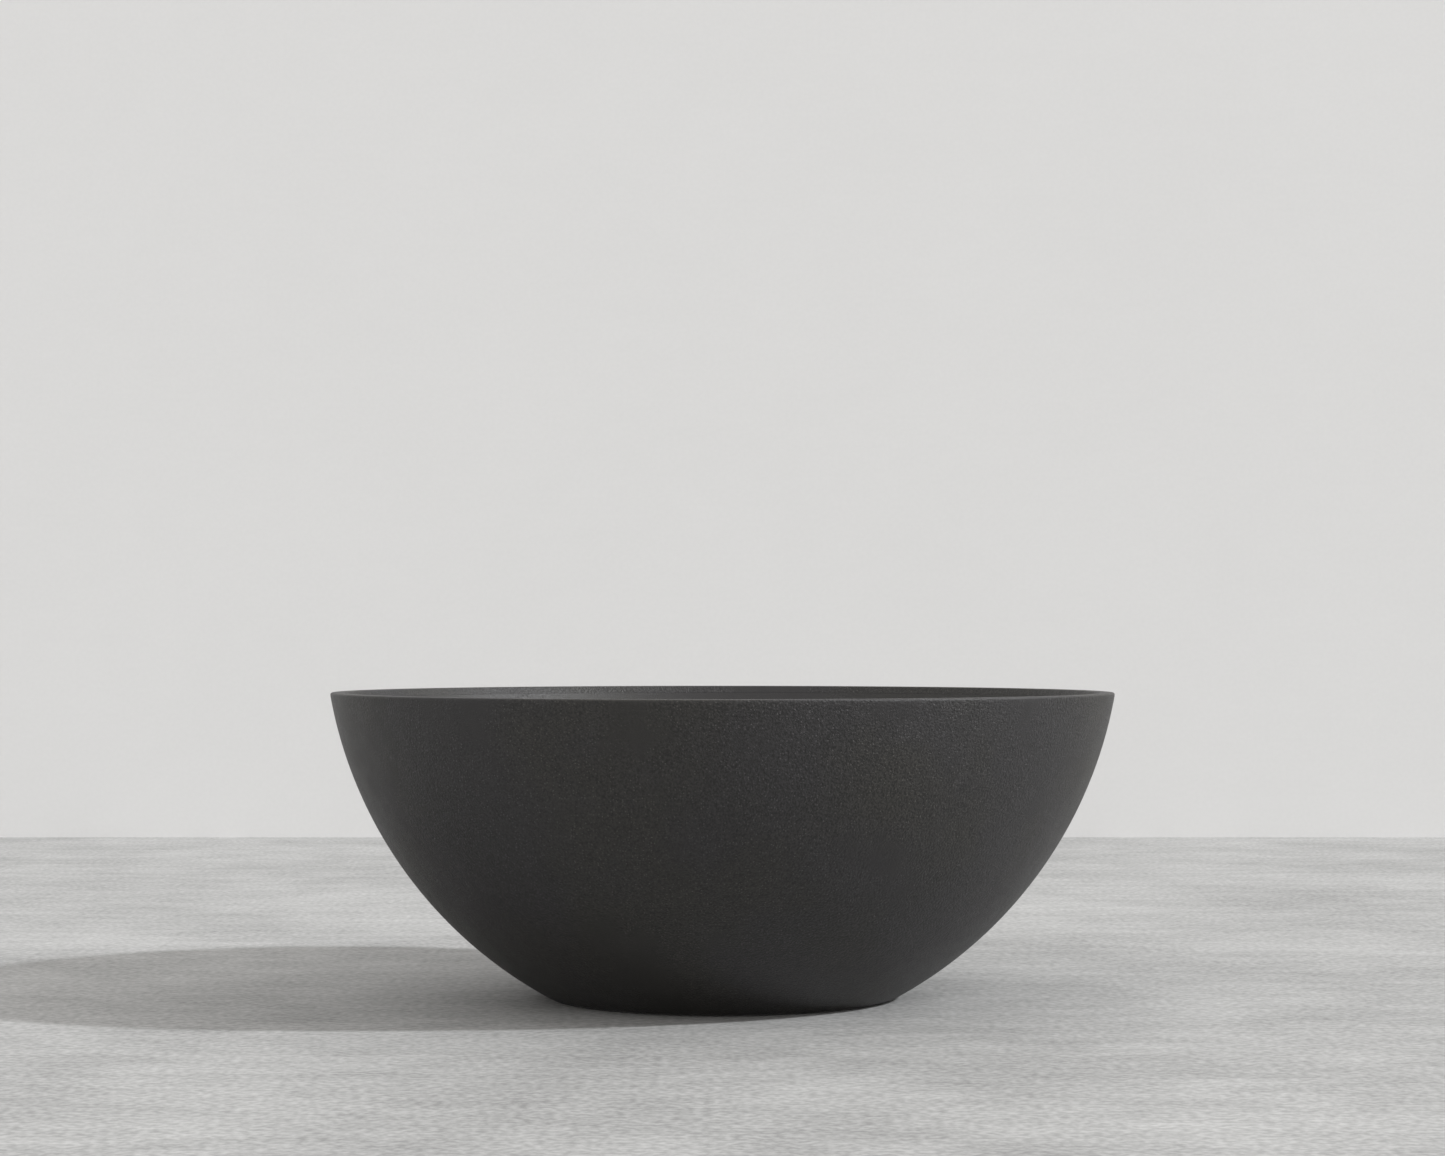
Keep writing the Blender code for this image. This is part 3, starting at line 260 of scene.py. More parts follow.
def shade(tree, shader, colour, tone, amount):
    """Makes a base colour lighter and darker by a tone that runs from -1 to 1."""
    share = maths(tree, "MULTIPLY_ADD", tone, amount, 1.0)
    scaled = add(tree, "VectorMath", {0: colour, "Scale": share}, operation="SCALE").outputs[0]
    tree.links.new(scaled, shader.inputs["Base Color"])


def roughen(tree, shader, middle, tone, amount):
    """Lets the roughness wander about its middle value."""
    tree.links.new(maths(tree, "MULTIPLY_ADD", tone, amount, middle), shader.inputs["Roughness"])


def emboss(tree, shader, *layers):
    """Stacks bumps. Each layer is a tone and its depth in metres."""
    normal = None
    for tone, depth in layers:
        inputs = {"Height": tone, "Distance": depth, "Strength": 1.0}
        if normal:
            inputs["Normal"] = normal
        normal = add(tree, "Bump", inputs).outputs["Normal"]
    tree.links.new(normal, shader.inputs["Normal"])


print("material helpers are ready")

# %% [markdown]
# ## Cast stone
# The tub is cast from stone powder and resin, coloured all through and rubbed to a matte skin.
# Close up the charcoal is not even: slow clouds run through it, faint streaks hang down from the
# rim, and in patches tiny pinholes are drawn lighter than the stone around them. The top few
# millimetres of the rim are drawn much lighter. This is a painted highlight, standing in for the
# light that the rim's rounded edge catches. The outside and the inside share this finish, with calmer
# numbers inside, where the stone is polished smoother for bathing.

# %% The stone finish
def make_stone(name, colour, roughness, pit_cover, pit_light, highlight_low, highlight_high):
    material, tree, shader, place = start_material(name)
    broad = use_group(tree, cloud, Vector=place, Scale=3.2, Detail=4.0)["Tone"]
    small = use_group(tree, cloud, Vector=place, Scale=24.0, Detail=5.0)["Tone"]
    hanging = use_group(
        tree, streaks, Vector=place, Across_X=55.0, Across_Y=55.0, Across_Z=2.5
    )["Tone"]
    skin = use_group(tree, grain, Vector=place, Scale=700.0)["Tone"]
    holes = use_group(
        tree, pits, Vector=place, Scale=200.0, Patch_Scale=4.0, Cover=pit_cover
    )
    grit = use_group(tree, grain, Vector=place, Scale=240.0)["Tone"]
    gritty = maths(tree, "MULTIPLY", grit, holes["Patch"])
    height = add(tree, "SeparateXYZ", {0: place}).outputs[2]
    # Painted highlight: the colour is made much lighter over the top few millimetres of the rim, in place of
    # the light that its rounded edge catches.
    rim_top_highlight = ramp_between(tree, height, highlight_low, highlight_high)

    tone = maths(tree, "MULTIPLY", broad, 0.12)
    tone = maths(tree, "MULTIPLY_ADD", small, 0.07, tone)
    tone = maths(tree, "MULTIPLY_ADD", hanging, 0.05, tone)
    tone = maths(tree, "MULTIPLY_ADD", skin, 0.10, tone)
    tone = maths(tree, "MULTIPLY_ADD", gritty, 0.62, tone)
    tone = maths(tree, "MULTIPLY_ADD", holes["Pit"], pit_light, tone)
    # adds the rim's painted highlight
    tone = maths(tree, "MULTIPLY_ADD", rim_top_highlight, 0.80, tone)
    warm = add(
        tree,
        "Mix",
        {"Factor": ramp_between(tree, broad, -0.8, 0.8), "A": colour[0], "B": colour[1]},
        data_type="VECTOR",
    ).outputs["Result"]
    shade(tree, shader, warm, tone, 1.0)

    uneven = maths(tree, "MULTIPLY_ADD", small, 0.5, maths(tree, "MULTIPLY", holes["Patch"], -0.7))
    roughen(tree, shader, roughness, uneven, 0.05)
    pocked = maths(tree, "MULTIPLY", holes["Pit"], -1.0)
    emboss(tree, shader, (skin, 0.00012), (small, 0.00012), (gritty, 0.0003), (pocked, 0.0005))
    shader.inputs["Specular IOR Level"].default_value = 0.5
    return material


CHARCOAL_WARM = (0.0205, 0.0193, 0.0172)
CHARCOAL_COOL = (0.0180, 0.0170, 0.0178)
tub_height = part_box("outer_shell")[1].z
# The last two numbers are the heights over which the rim's painted highlight rises.
stone_outside = make_stone(
    "stone_outside", (CHARCOAL_WARM, CHARCOAL_COOL), 0.50, 0.85, 2.2,
    tub_height - 0.003, tub_height,
)
stone_inside = make_stone(
    "stone_inside", (CHARCOAL_WARM, CHARCOAL_COOL), 0.44, 0.45, 0.7,
    tub_height - 0.003, tub_height + 0.001,
)
print("made", stone_outside.name, "and", stone_inside.name)

# %% [markdown]
# ## Turning a piece
# Most of this tub is round, so most of it is turned. A real pattern maker cuts a template of half
# the section and sweeps it round a post. Here a single point is pushed out along the same
# outline, one extrusion after another, and the line that it leaves is spun once around the axis.
#
# An outline is a list of corners, each a distance from the axis and a height. A third number
# rounds that corner, because nothing that is cast, moulded or machined has a truly sharp edge.

# %% Outlines
def arc_points(centre, radius, start, end, count):
    """Points along an arc of an outline, from one angle to another."""
    angles = [start + (end - start) * step / count for step in range(count + 1)]
    return [(centre[0] + radius * math.cos(a), centre[1] + radius * math.sin(a)) for a in angles]


def rounded(corners, steps=4):
    """The outline of a closed loop of corners, with each third number made a fillet."""
    outline = []
    for index, (r, z, *fillet) in enumerate(corners):
        here = Vector((r, z))
        if not fillet:
            outline.append((r, z))
            continue
        back = (Vector(corners[index - 1][:2]) - here).normalized()
        ahead = (Vector(corners[(index + 1) % len(corners)][:2]) - here).normalized()
        half = back.angle(ahead) / 2
        middle = here + (back + ahead).normalized() * fillet[0] / math.sin(half)
        first = here + back * fillet[0] / math.tan(half) - middle
        last = here + ahead * fillet[0] / math.tan(half) - middle
        for step in range(steps + 1):
            share = step / steps
            spoke = first.slerp(last, share) * fillet[0]
            outline.append(tuple(middle + spoke))
    return outline


print("a 2 mm fillet has", len(rounded([(0, 0), (1, 0, 0.002), (1, 1)])) - 2, "points")

# %% Spin an outline
SMOOTH_ABOVE = math.radians(32)


def only(piece):
    """Selects one object and nothing else."""
    bpy.ops.object.select_all(action="DESELECT")
    piece.select_set(True)
    bpy.context.view_layer.objects.active = piece
    return piece


SPIN_STEPS = 96


def turn(name, outline, steps=SPIN_STEPS):
    """Draws the outline by extruding a point along it, and spins it once about the Z axis."""
    bpy.ops.object.select_all(action="DESELECT")
    bpy.ops.mesh.primitive_plane_add(size=0.01, location=(0, 0, 0))
    piece = bpy.context.object
    piece.name = piece.data.name = name
    bpy.ops.object.mode_set(mode="EDIT")
    bpy.ops.mesh.merge(type="CENTER")
    bpy.ops.transform.translate(value=(outline[0][0], 0, outline[0][1]))
    for here, there in zip(outline, outline[1:] + outline[:1]):
        step = (there[0] - here[0], 0, there[1] - here[1])
        bpy.ops.mesh.extrude_region_move(TRANSFORM_OT_translate={"value": step})
    bpy.ops.mesh.select_all(action="SELECT")
    bpy.ops.mesh.remove_doubles(threshold=0.000002)
    bpy.ops.mesh.spin(steps=steps, angle=math.tau, center=(0, 0, 0), axis=(0, 0, 1))
    bpy.ops.mesh.select_all(action="SELECT")
    bpy.ops.mesh.remove_doubles(threshold=0.000002)
    bpy.ops.mesh.delete_loose()
    bpy.ops.mesh.select_all(action="SELECT")
    bpy.ops.mesh.normals_make_consistent(inside=False)
    bpy.ops.object.mode_set(mode="OBJECT")
    bpy.ops.object.shade_smooth_by_angle(angle=SMOOTH_ABOVE)
    return piece


def settle(piece, location=(0, 0, 0), rotation=(0, 0, 0)):
    """Puts a piece in its place and writes the place into its mesh."""
    only(piece)
    piece.location = location
    piece.rotation_euler = rotation
    bpy.ops.object.transform_apply(location=True, rotation=True, scale=True)
    return piece


def combine(piece, other, operation):
    """Cuts or joins with another object, which is then thrown away."""
    only(piece)
    modifier = piece.modifiers.new("shape", "BOOLEAN")
    modifier.operation = operation
    modifier.object = other
    bpy.ops.object.modifier_apply(modifier="shape")
    bpy.data.objects.remove(other, do_unlink=True)
    bpy.ops.object.shade_smooth_by_angle(angle=SMOOTH_ABOVE)
    return piece


def dress(piece, material, slot, body, *nodes):
    """Gives a finished piece its material, its body, and the working nodes that it stands for."""
    piece.data.materials.clear()
    piece.data.materials.append(material)
    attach(piece, body)
    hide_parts(*nodes)
    print(piece.name, len(piece.data.polygons), "faces for", ", ".join(nodes))
    return piece


print("turning helpers are ready")

# %% [markdown]
# ## The outer shell
# From the side the bowl is one clean arc of 822 mm, from just inside the rim down to the foot. At
# the rim the shell folds inward as a flat ring, 27 mm wide, with softened edges. At the foot it
# stops 4 mm above the floor and steps in by 8 mm, which makes the thin dark line that the bowl
# seems to float on. Inside, the shell is hollow for the pipes, so its inner face is drawn too.

# %% Where the bowl's arc has its centre
BOWL_ARC = 0.822
SHELL_WALL = 0.014
RIM_WIDTH = 0.027
RIM_ARRIS = 0.0035
GAP_HEIGHT = 0.004
GAP_DEPTH = 0.008
LOWER_EDGE = 0.339


def arc_centre(low, high, to_low, to_high):
    """The centre that is so far from one point and so far from another, on the axis side."""
    span = math.dist(low, high)
    along = (to_low**2 - to_high**2 + span**2) / (2 * span)
    aside = math.sqrt(to_low**2 - along**2)
    step_r, step_z = (high[0] - low[0]) / span, (high[1] - low[1]) / span
    return (low[0] + along * step_r - aside * step_z, low[1] + along * step_z + aside * step_r)


def on_arc(centre, radius, height):
    """How far from the axis an arc is at a height, and the angle there."""
    rise = height - centre[1]
    return centre[0] + math.sqrt(radius**2 - rise**2), math.asin(rise / radius)


rim_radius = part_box("outer_shell")[1].x
rim_edge = (rim_radius, tub_height - RIM_ARRIS)
bowl_centre = arc_centre((LOWER_EDGE, GAP_HEIGHT), rim_edge, BOWL_ARC, BOWL_ARC)
print("bowl arc centre", [round(x, 4) for x in bowl_centre])

# %% Where the basin's arcs have their centres
FLOOR_HEIGHT = 0.130
HEEL_RADIUS = 0.110
HEEL_SETBACK = 0.125
WALL_ARC = 2.400
shell_face = BOWL_ARC - SHELL_WALL
rim_inner = rim_radius - RIM_WIDTH
floor_radius = on_arc(bowl_centre, shell_face, FLOOR_HEIGHT)[0] - HEEL_SETBACK
heel_centre = (floor_radius, FLOOR_HEIGHT + HEEL_RADIUS)
wall_centre = arc_centre(heel_centre, (rim_inner, tub_height), WALL_ARC - HEEL_RADIUS, WALL_ARC)
heel_top = math.atan2(heel_centre[1] - wall_centre[1], heel_centre[0] - wall_centre[0])
print("flat floor reaches", round(floor_radius, 4), "m from the middle")

# %% Turn the outer shell
LIP_THICKNESS = 0.014
RING_WIDTH = 0.046
RING_HEIGHT = 0.022
SHELL_TURNS = 256

top_angle = on_arc(bowl_centre, BOWL_ARC, rim_edge[1] - 0.004)[1]
foot_angle = on_arc(bowl_centre, BOWL_ARC, GAP_HEIGHT + 0.002)[1]
lip_low = tub_height - LIP_THICKNESS
ring_outer = LOWER_EDGE - GAP_DEPTH
ring_inner = ring_outer - RING_WIDTH
inside_low = on_arc(bowl_centre, shell_face, RING_HEIGHT + 0.006)[1]
inside_top = on_arc(bowl_centre, shell_face, lip_low - 0.006)[1]
shell_outline = rounded([
    *arc_points(bowl_centre, BOWL_ARC, top_angle, foot_angle, 72),
    (LOWER_EDGE, GAP_HEIGHT, 0.0012),
    (ring_outer, GAP_HEIGHT, 0.0015),
    (ring_outer, 0.0, 0.0008),
    (ring_inner, 0.0, 0.003),
    (ring_inner, RING_HEIGHT, 0.004),
    (on_arc(bowl_centre, shell_face, RING_HEIGHT)[0], RING_HEIGHT, 0.004),
    *arc_points(bowl_centre, shell_face, inside_low, inside_top, 48),
    (on_arc(bowl_centre, shell_face, lip_low)[0], lip_low, 0.003),
    (on_arc(wall_centre, WALL_ARC, lip_low)[0], lip_low),
    (rim_inner, tub_height, RIM_ARRIS),
    (rim_radius, tub_height, RIM_ARRIS),
], steps=6)
outer_casting = turn("outer_casting", shell_outline, SHELL_TURNS)
dress(outer_casting, stone_outside, "shell_stone", "root", "outer_shell")

# %% [markdown]
# ## The basin
# The basin is the second casting, glued up under the lip of the first. Its wall is almost
# straight, a long arc that leans out, and it runs into the floor through a heel of 110 mm, so
# there is no corner for dirt. The floor falls 4 mm to the drain, which sits in a shallow recess.
# One round seat is cut square into the leaning wall for the overflow.

# %% Where the overflow sits
OVERFLOW_HEIGHT = 0.440
overflow_reach, lean_angle = on_arc(wall_centre, WALL_ARC, OVERFLOW_HEIGHT)
overflow_place = (0, overflow_reach, OVERFLOW_HEIGHT)
overflow_tilt = (math.pi / 2 + lean_angle, 0, 0)
print("overflow at", [round(x, 4) for x in overflow_place], "leaning", round(math.degrees(-lean_angle)))

# %% Turn the basin and cut its holes
BASIN_WALL = 0.012
FLOOR_THICKNESS = 0.018
FLOOR_FALL = 0.004
DRAIN_HOLE = 0.026
RECESS_RADIUS = 0.0365
RECESS_DEPTH = 0.005
GLUE_GAP = 0.0003
OVERFLOW_HOLE = 0.021
OVERFLOW_SEAT = 0.029
SEAT_DEPTH = 0.0012

basin_top = lip_low - GLUE_GAP
underside = FLOOR_HEIGHT - FLOOR_THICKNESS
drain_edge = FLOOR_HEIGHT - FLOOR_FALL
back_arc = WALL_ARC + BASIN_WALL
land = on_arc(bowl_centre, shell_face - 0.0005, basin_top)[0]
land_low = on_arc(bowl_centre, shell_face - 0.0005, basin_top - 0.012)[0]
back_low = on_arc(wall_centre, back_arc, basin_top - 0.016)[1]
heel_back = arc_points(heel_centre, HEEL_RADIUS + BASIN_WALL, heel_top, math.radians(-75), 14)
basin_outline = rounded([
    (on_arc(wall_centre, WALL_ARC, basin_top)[0], basin_top),
    (land, basin_top, 0.001),
    (land_low, basin_top - 0.012, 0.001),
    *arc_points(wall_centre, back_arc, back_low, heel_top, 24),
    *heel_back[1:],
    (heel_back[-1][0], underside),
    (DRAIN_HOLE, underside, 0.001),
    (DRAIN_HOLE, drain_edge - RECESS_DEPTH, 0.0008),
    (RECESS_RADIUS, drain_edge - RECESS_DEPTH, 0.0008),
    (RECESS_RADIUS, drain_edge, 0.0015),
    *arc_points(heel_centre, HEEL_RADIUS, -math.pi / 2, heel_top, 28),
    *arc_points(
        wall_centre, WALL_ARC, heel_top, on_arc(wall_centre, WALL_ARC, basin_top)[1], 40
    )[1:-1],
])
inner_basin = turn("inner_basin", basin_outline, SHELL_TURNS)
for cutter_name, cutter_radius, depth in (("hole", OVERFLOW_HOLE, 0.03), ("seat", OVERFLOW_SEAT, SEAT_DEPTH)):
    outline = [(0, -depth), (cutter_radius, -depth), (cutter_radius, 0.03), (0, 0.03)]
    cutter = settle(turn(cutter_name, outline, 96), overflow_place, overflow_tilt)
    combine(inner_basin, cutter, "DIFFERENCE")
dress(inner_basin, stone_inside, "basin_stone", "root", "basin")

# %% [markdown]
# ## Finishes for the fittings
# The fittings are bought parts, and each has the skin of the way it is made. The waste and the
# overflow are turned from stainless steel, so fine rings run round their own axes. Nuts, studs
# and screws are plated with zinc, which dries in faint clouds. Brass shows the same rings, in
# yellow. Rubber is dull and fine-grained, and moulded plastic has a soft orange-peel skin.
#
# The overflow leans with the wall of the tub, so a Mapping node carries its rings onto its axis.

# %% Metals
def make_metal(name, colour, roughness, marks, where=(0, 0, 0), turned_by=(0, 0, 0)):
    """Metal with lathe rings about its own axis and faint clouds from handling."""
    material, tree, shader, place = start_material(name)
    placing = {"Vector": place, "Location": where, "Rotation": turned_by}
    own = add(tree, "Mapping", placing, vector_type="TEXTURE").outputs["Vector"]
    lines = use_group(tree, turned_marks, Vector=own, Scale=1600.0)["Tone"]
    smear = use_group(tree, cloud, Vector=place, Scale=45.0, Detail=4.0)["Tone"]
    speck = use_group(tree, grain, Vector=place, Scale=1500.0)["Tone"]
    tone = maths(tree, "MULTIPLY_ADD", lines, marks, maths(tree, "MULTIPLY", smear, 0.6))
    shade(tree, shader, colour, tone, 0.10)
    uneven = maths(tree, "MULTIPLY_ADD", lines, marks * 0.6, maths(tree, "MULTIPLY", smear, 0.7))
    roughen(tree, shader, roughness, uneven, 0.08)
    emboss(tree, shader, (lines, 0.000012 * marks), (speck, 0.000004))
    shader.inputs["Metallic"].default_value = 1.0
    return material


turned_steel = make_metal("turned_steel", (0.52, 0.51, 0.49), 0.27, 1.0)
overflow_steel = make_metal(
    "overflow_steel", (0.52, 0.51, 0.49), 0.27, 1.0, overflow_place, overflow_tilt
)
zinc_plate = make_metal("zinc_plate", (0.58, 0.59, 0.60), 0.38, 0.3)
turned_brass = make_metal("turned_brass", (0.62, 0.44, 0.20), 0.30, 0.8)
print("made four metals")

# %% Rubber and plastic
def make_moulded(name, colour, roughness, skin_scale, skin_depth, cloudy):
    """Rubber or plastic with the fine skin of its mould and a slow change of tone."""
    material, tree, shader, place = start_material(name)
    skin = use_group(tree, grain, Vector=place, Scale=skin_scale)["Tone"]
    broad = use_group(tree, cloud, Vector=place, Scale=18.0, Detail=4.0)["Tone"]
    tone = maths(tree, "MULTIPLY_ADD", broad, cloudy, maths(tree, "MULTIPLY", skin, 0.03))
    shade(tree, shader, colour, tone, 1.0)
    roughen(tree, shader, roughness, broad, 0.06)
    emboss(tree, shader, (skin, skin_depth))
    return material


black_rubber = make_moulded("black_rubber", (0.020, 0.020, 0.019), 0.74, 1400.0, 0.00003, 0.25)
white_plastic = make_moulded("white_plastic", (0.76, 0.76, 0.73), 0.36, 500.0, 0.00001, 0.03)
grey_plastic = make_moulded("grey_plastic", (0.29, 0.30, 0.31), 0.45, 600.0, 0.00001, 0.06)
print("made rubber and two plastics")

# %% Birch plywood
board_low, board_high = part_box("base_board")
PLIES = 9


def make_plywood(name, along, across):
    """Plywood, whose thin sheets run in turn along X and along Y."""
    material, tree, shader, place = start_material(name)
    height = add(tree, "SeparateXYZ", {0: place}).outputs[2]
    up = maths(tree, "DIVIDE", maths(tree, "SUBTRACT", height, board_low.z), board_high.z - board_low.z)
    sheet = maths(tree, "FLOOR", maths(tree, "MULTIPLY", up, PLIES * 0.998))
    odd = maths(tree, "MULTIPLY", maths(tree, "FRACT", maths(tree, "MULTIPLY", sheet, 0.5)), 2.0)
    one = use_group(tree, streaks, Vector=place, Across_X=along, Across_Y=across, Across_Z=across)["Tone"]
    two = use_group(tree, streaks, Vector=place, Across_X=across, Across_Y=along, Across_Z=across)["Tone"]
    turn_about = {"Factor": odd, "A": one, "B": two}
    figure = add(tree, "Mix", turn_about, data_type="FLOAT").outputs["Result"]
    broad = use_group(tree, cloud, Vector=place, Scale=7.0, Detail=3.0)["Tone"]
    tone = maths(tree, "MULTIPLY_ADD", figure, 0.14, maths(tree, "MULTIPLY", broad, 0.08))
    tone = maths(tree, "MULTIPLY_ADD", odd, -0.28, tone)
    shade(tree, shader, (0.50, 0.35, 0.21), tone, 1.0)
    roughen(tree, shader, 0.62, figure, 0.08)
    emboss(tree, shader, (figure, 0.00008))
    return material


birch_ply = make_plywood("birch_ply", 5.0, 260.0)
print("made plywood of", PLIES, "sheets")

# %% [markdown]
# ## Shapes that repeat
# The fittings are built from a few shapes: a ring with softened edges, a plain rod to join on or
# to cut with, a flat bar, and a hexagon whose corners are turned off as on a real nut. A thread
# is drawn as a zigzag in the outline, so its ridges are rings; at this size that reads as a thread.

# %% Rings, rods and bars
def ring(name, inner, outer, low, high, edge=0.0005, steps=SPIN_STEPS):
    """A ring with softened edges."""
    corners = [(inner, low, edge), (outer, low, edge), (outer, high, edge), (inner, high, edge)]
    return turn(name, rounded(corners), steps)


def rod(name, radius, low, high, steps=64):
    """A plain round bar, to join to a piece or to cut out of it."""
    return turn(name, [(0, low), (radius, low), (radius, high), (0, high)], steps)


def bar(name, size, centre, edge=0.0004):
    """A flat bar with softened edges."""
    bpy.ops.object.select_all(action="DESELECT")
    bpy.ops.mesh.primitive_cube_add(size=1, location=centre, scale=size)
    piece = bpy.context.object
    piece.name = piece.data.name = name
    bpy.ops.object.transform_apply(location=True, rotation=True, scale=True)
    soften = piece.modifiers.new("soften", "BEVEL")
    soften.width = edge
    soften.segments = 3
    bpy.ops.object.modifier_apply(modifier="soften")
    return piece


def threads(radius, low, high, pitch=0.0015, depth=0.0004):
    """The zigzag of a thread in an outline, from low to high."""
    count = round((high - low) / pitch)
    step = (high - low) / count
    roots = [(radius - depth, low + step * index) for index in range(count + 1)]
    crests = [(radius, low + step * (index + 0.5)) for index in range(count)]
    return sorted(roots + crests, key=lambda point: point[1])


print("made rings, rods, bars and threads")

# %% Hexagons and finger grips
CHAMFER_SLOPE = math.tan(math.radians(30))


def hexagon(name, flats, low, high):
    """A hexagonal bar with its corners turned off at both ends."""
    bpy.ops.object.select_all(action="DESELECT")
    corner = flats / math.sqrt(3)
    bpy.ops.mesh.primitive_cylinder_add(vertices=6, radius=corner, depth=high - low)
    piece = settle(bpy.context.object, (0, 0, (low + high) / 2))
    piece.name = piece.data.name = name
    crown = flats * 0.475
    wide = corner * 1.05
    rise = (wide - crown) * CHAMFER_SLOPE
    turning = [(0, low), (crown, low), (wide, low + rise), (wide, high - rise), (crown, high), (0, high)]
    return combine(piece, turn("turning", turning, 96), "INTERSECT")


def grip(piece, radius, depth):
    """Sinks flutes into the outermost band of a turned piece, two faces in every four."""
    only(piece)
    mesh = piece.data
    bpy.ops.object.mode_set(mode="EDIT")
    bpy.ops.mesh.select_mode(type="FACE")
    bpy.ops.mesh.select_all(action="DESELECT")
    bpy.ops.object.mode_set(mode="OBJECT")
    step = math.tau / SPIN_STEPS
    for face in mesh.polygons:
        middle = face.center
        outside = abs(math.hypot(middle.x, middle.y) - radius) < 0.0003 and abs(face.normal.z) < 0.1
        place_round = int((math.atan2(middle.y, middle.x) % math.tau) / step)
        face.select = outside and place_round % 4 < 2
    bpy.ops.object.mode_set(mode="EDIT")
    bpy.ops.mesh.extrude_region_shrink_fatten(TRANSFORM_OT_shrink_fatten={"value": -depth})
    bpy.ops.mesh.select_mode(type="VERT")
    bpy.ops.object.mode_set(mode="OBJECT")
    bpy.ops.object.shade_smooth_by_angle(angle=SMOOTH_ABOVE)
    return piece


print("made hexagons and grips")

# %% [markdown]
# ## The waste
# The only fitting that a bather sees is the waste: a brushed cap over a flanged tube, set in the
# recess of the floor. The tube's flange is clamped through the stone by a big brass nut below.
# Inside it a cross carries the click mechanism, whose stem carries the cap. Each height comes
# from the working model, so the pieces fit each other without being measured twice.

# %% The flanged tube
TUBE_RADIUS = 0.0238
TUBE_BORE = 0.0205
FLANGE_THICKNESS = 0.003
flange_radius, flange_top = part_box("waste_flange")[1].x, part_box("waste_flange")[1].z
flange_bottom = flange_top - FLANGE_THICKNESS
tube_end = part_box("waste_flange")[0].z
waste_tube = turn("waste_tube", rounded([
    (flange_radius, flange_bottom, 0.0004),
    (flange_radius, flange_top - 0.0010, 0.0006),
    (flange_radius - 0.0016, flange_top, 0.0012),
    (0.0270, flange_top, 0.0010),
    (TUBE_BORE, flange_top - 0.0044, 0.0010),
    (TUBE_BORE, tube_end, 0.0004),
    (TUBE_RADIUS, tube_end, 0.0004),
    *threads(TUBE_RADIUS, tube_end + 0.001, flange_bottom - 0.006),
    (TUBE_RADIUS, flange_bottom),
]))
cross_low, cross_top = tube_end + 0.004, tube_end + 0.010
cross_middle = (0, 0, (cross_low + cross_top) / 2)
span = 2 * TUBE_RADIUS - 0.0033
for size in ((span, 0.003, cross_top - cross_low), (0.003, span, cross_top - cross_low)):
    combine(waste_tube, bar("cross_bar", size, cross_middle), "UNION")
combine(waste_tube, rod("cross_hub", 0.0075, cross_low - 0.0011, cross_top), "UNION")
combine(waste_tube, rod("cross_bore", 0.0044, 0, cross_top * 1.1), "DIFFERENCE")
dress(waste_tube, turned_steel, "brushed_steel", "root", "waste_flange")

# %% The cap
CAP_DOME = 0.002
cap_radius, cap_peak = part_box("plug_cap")[1].x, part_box("plug_cap")[1].z
cap_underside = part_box("plug_cap")[0].z
cap_shoulder = cap_peak - CAP_DOME
dome = [
    (cap_radius * share, cap_shoulder + CAP_DOME * (1 - share**2))
    for share in (0, 0.1, 0.2, 0.3, 0.4, 0.5, 0.6, 0.7, 0.8, 0.87, 0.92)
]
cap_outline = rounded([
    *dome,
    (cap_radius, cap_shoulder - 0.0002, 0.0009),
    (cap_radius - 0.0006, cap_underside, 0.0006),
    (0, cap_underside),
], steps=6)
domed_cap = turn("domed_cap", cap_outline, 128)
dress(domed_cap, turned_steel, "brushed_steel", "plug", "plug_cap")

# %% The rubber under the cap and its stem
gasket_low, gasket_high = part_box("plug_gasket")
cap_gasket = turn("cap_gasket", rounded([
    (0.0063, gasket_low.z),
    (0.01921, gasket_low.z, 0.0006),
    (gasket_high.x, gasket_high.z - 0.0016, 0.0008),
    (gasket_high.x, gasket_high.z, 0.0004),
    (0.0063, gasket_high.z),
]))
dress(cap_gasket, black_rubber, "black_rubber", "plug", "plug_gasket")

STEM_RADIUS = 0.004
stem_low, stem_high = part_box("plug_stem")
click_stem = turn("click_stem", rounded([
    (0, stem_high.z),
    (0.006, stem_high.z, 0.0003),
    (0.006, gasket_low.z, 0.0006),
    (STEM_RADIUS, gasket_low.z, 0.0006),
    (STEM_RADIUS, stem_low.z + 0.006),
    (STEM_RADIUS - 0.0008, stem_low.z + 0.0052),
    (STEM_RADIUS - 0.0008, stem_low.z + 0.0038),
    (STEM_RADIUS, stem_low.z + 0.003),
    (STEM_RADIUS, stem_low.z, 0.001),
    (0, stem_low.z),
]), 64)
dress(click_stem, turned_brass, "brass", "plug", "plug_stem")

# %% The click mechanism
click_low, click_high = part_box("clicker_body")
barrel_low = cross_top + GLUE_GAP
spring_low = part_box("plug_spring")[0].z
click_barrel = turn("click_barrel", rounded([
    (0, spring_low - GLUE_GAP),
    (0.006, spring_low - GLUE_GAP, 0.0004),
    (0.006, click_high.z - 0.0015, 0.0003),
    (STEM_RADIUS + 0.0004, click_high.z - 0.0015),
    (STEM_RADIUS + 0.0004, click_high.z, 0.0003),
    (0.0075, click_high.z, 0.0008),
    *reversed(threads(0.0075, barrel_low + 0.004, barrel_low + 0.016, 0.001, 0.0003)),
    (0.0075, barrel_low, 0.0005),
    (STEM_RADIUS, barrel_low, 0.0004),
    *reversed(threads(STEM_RADIUS, click_low.z + 0.0005, barrel_low - 0.0008, 0.0008, 0.0003)),
    (STEM_RADIUS - 0.0005, click_low.z, 0.0003),
    (0, click_low.z),
]), 64)
dress(click_barrel, turned_brass, "brass", "root", "clicker_body")

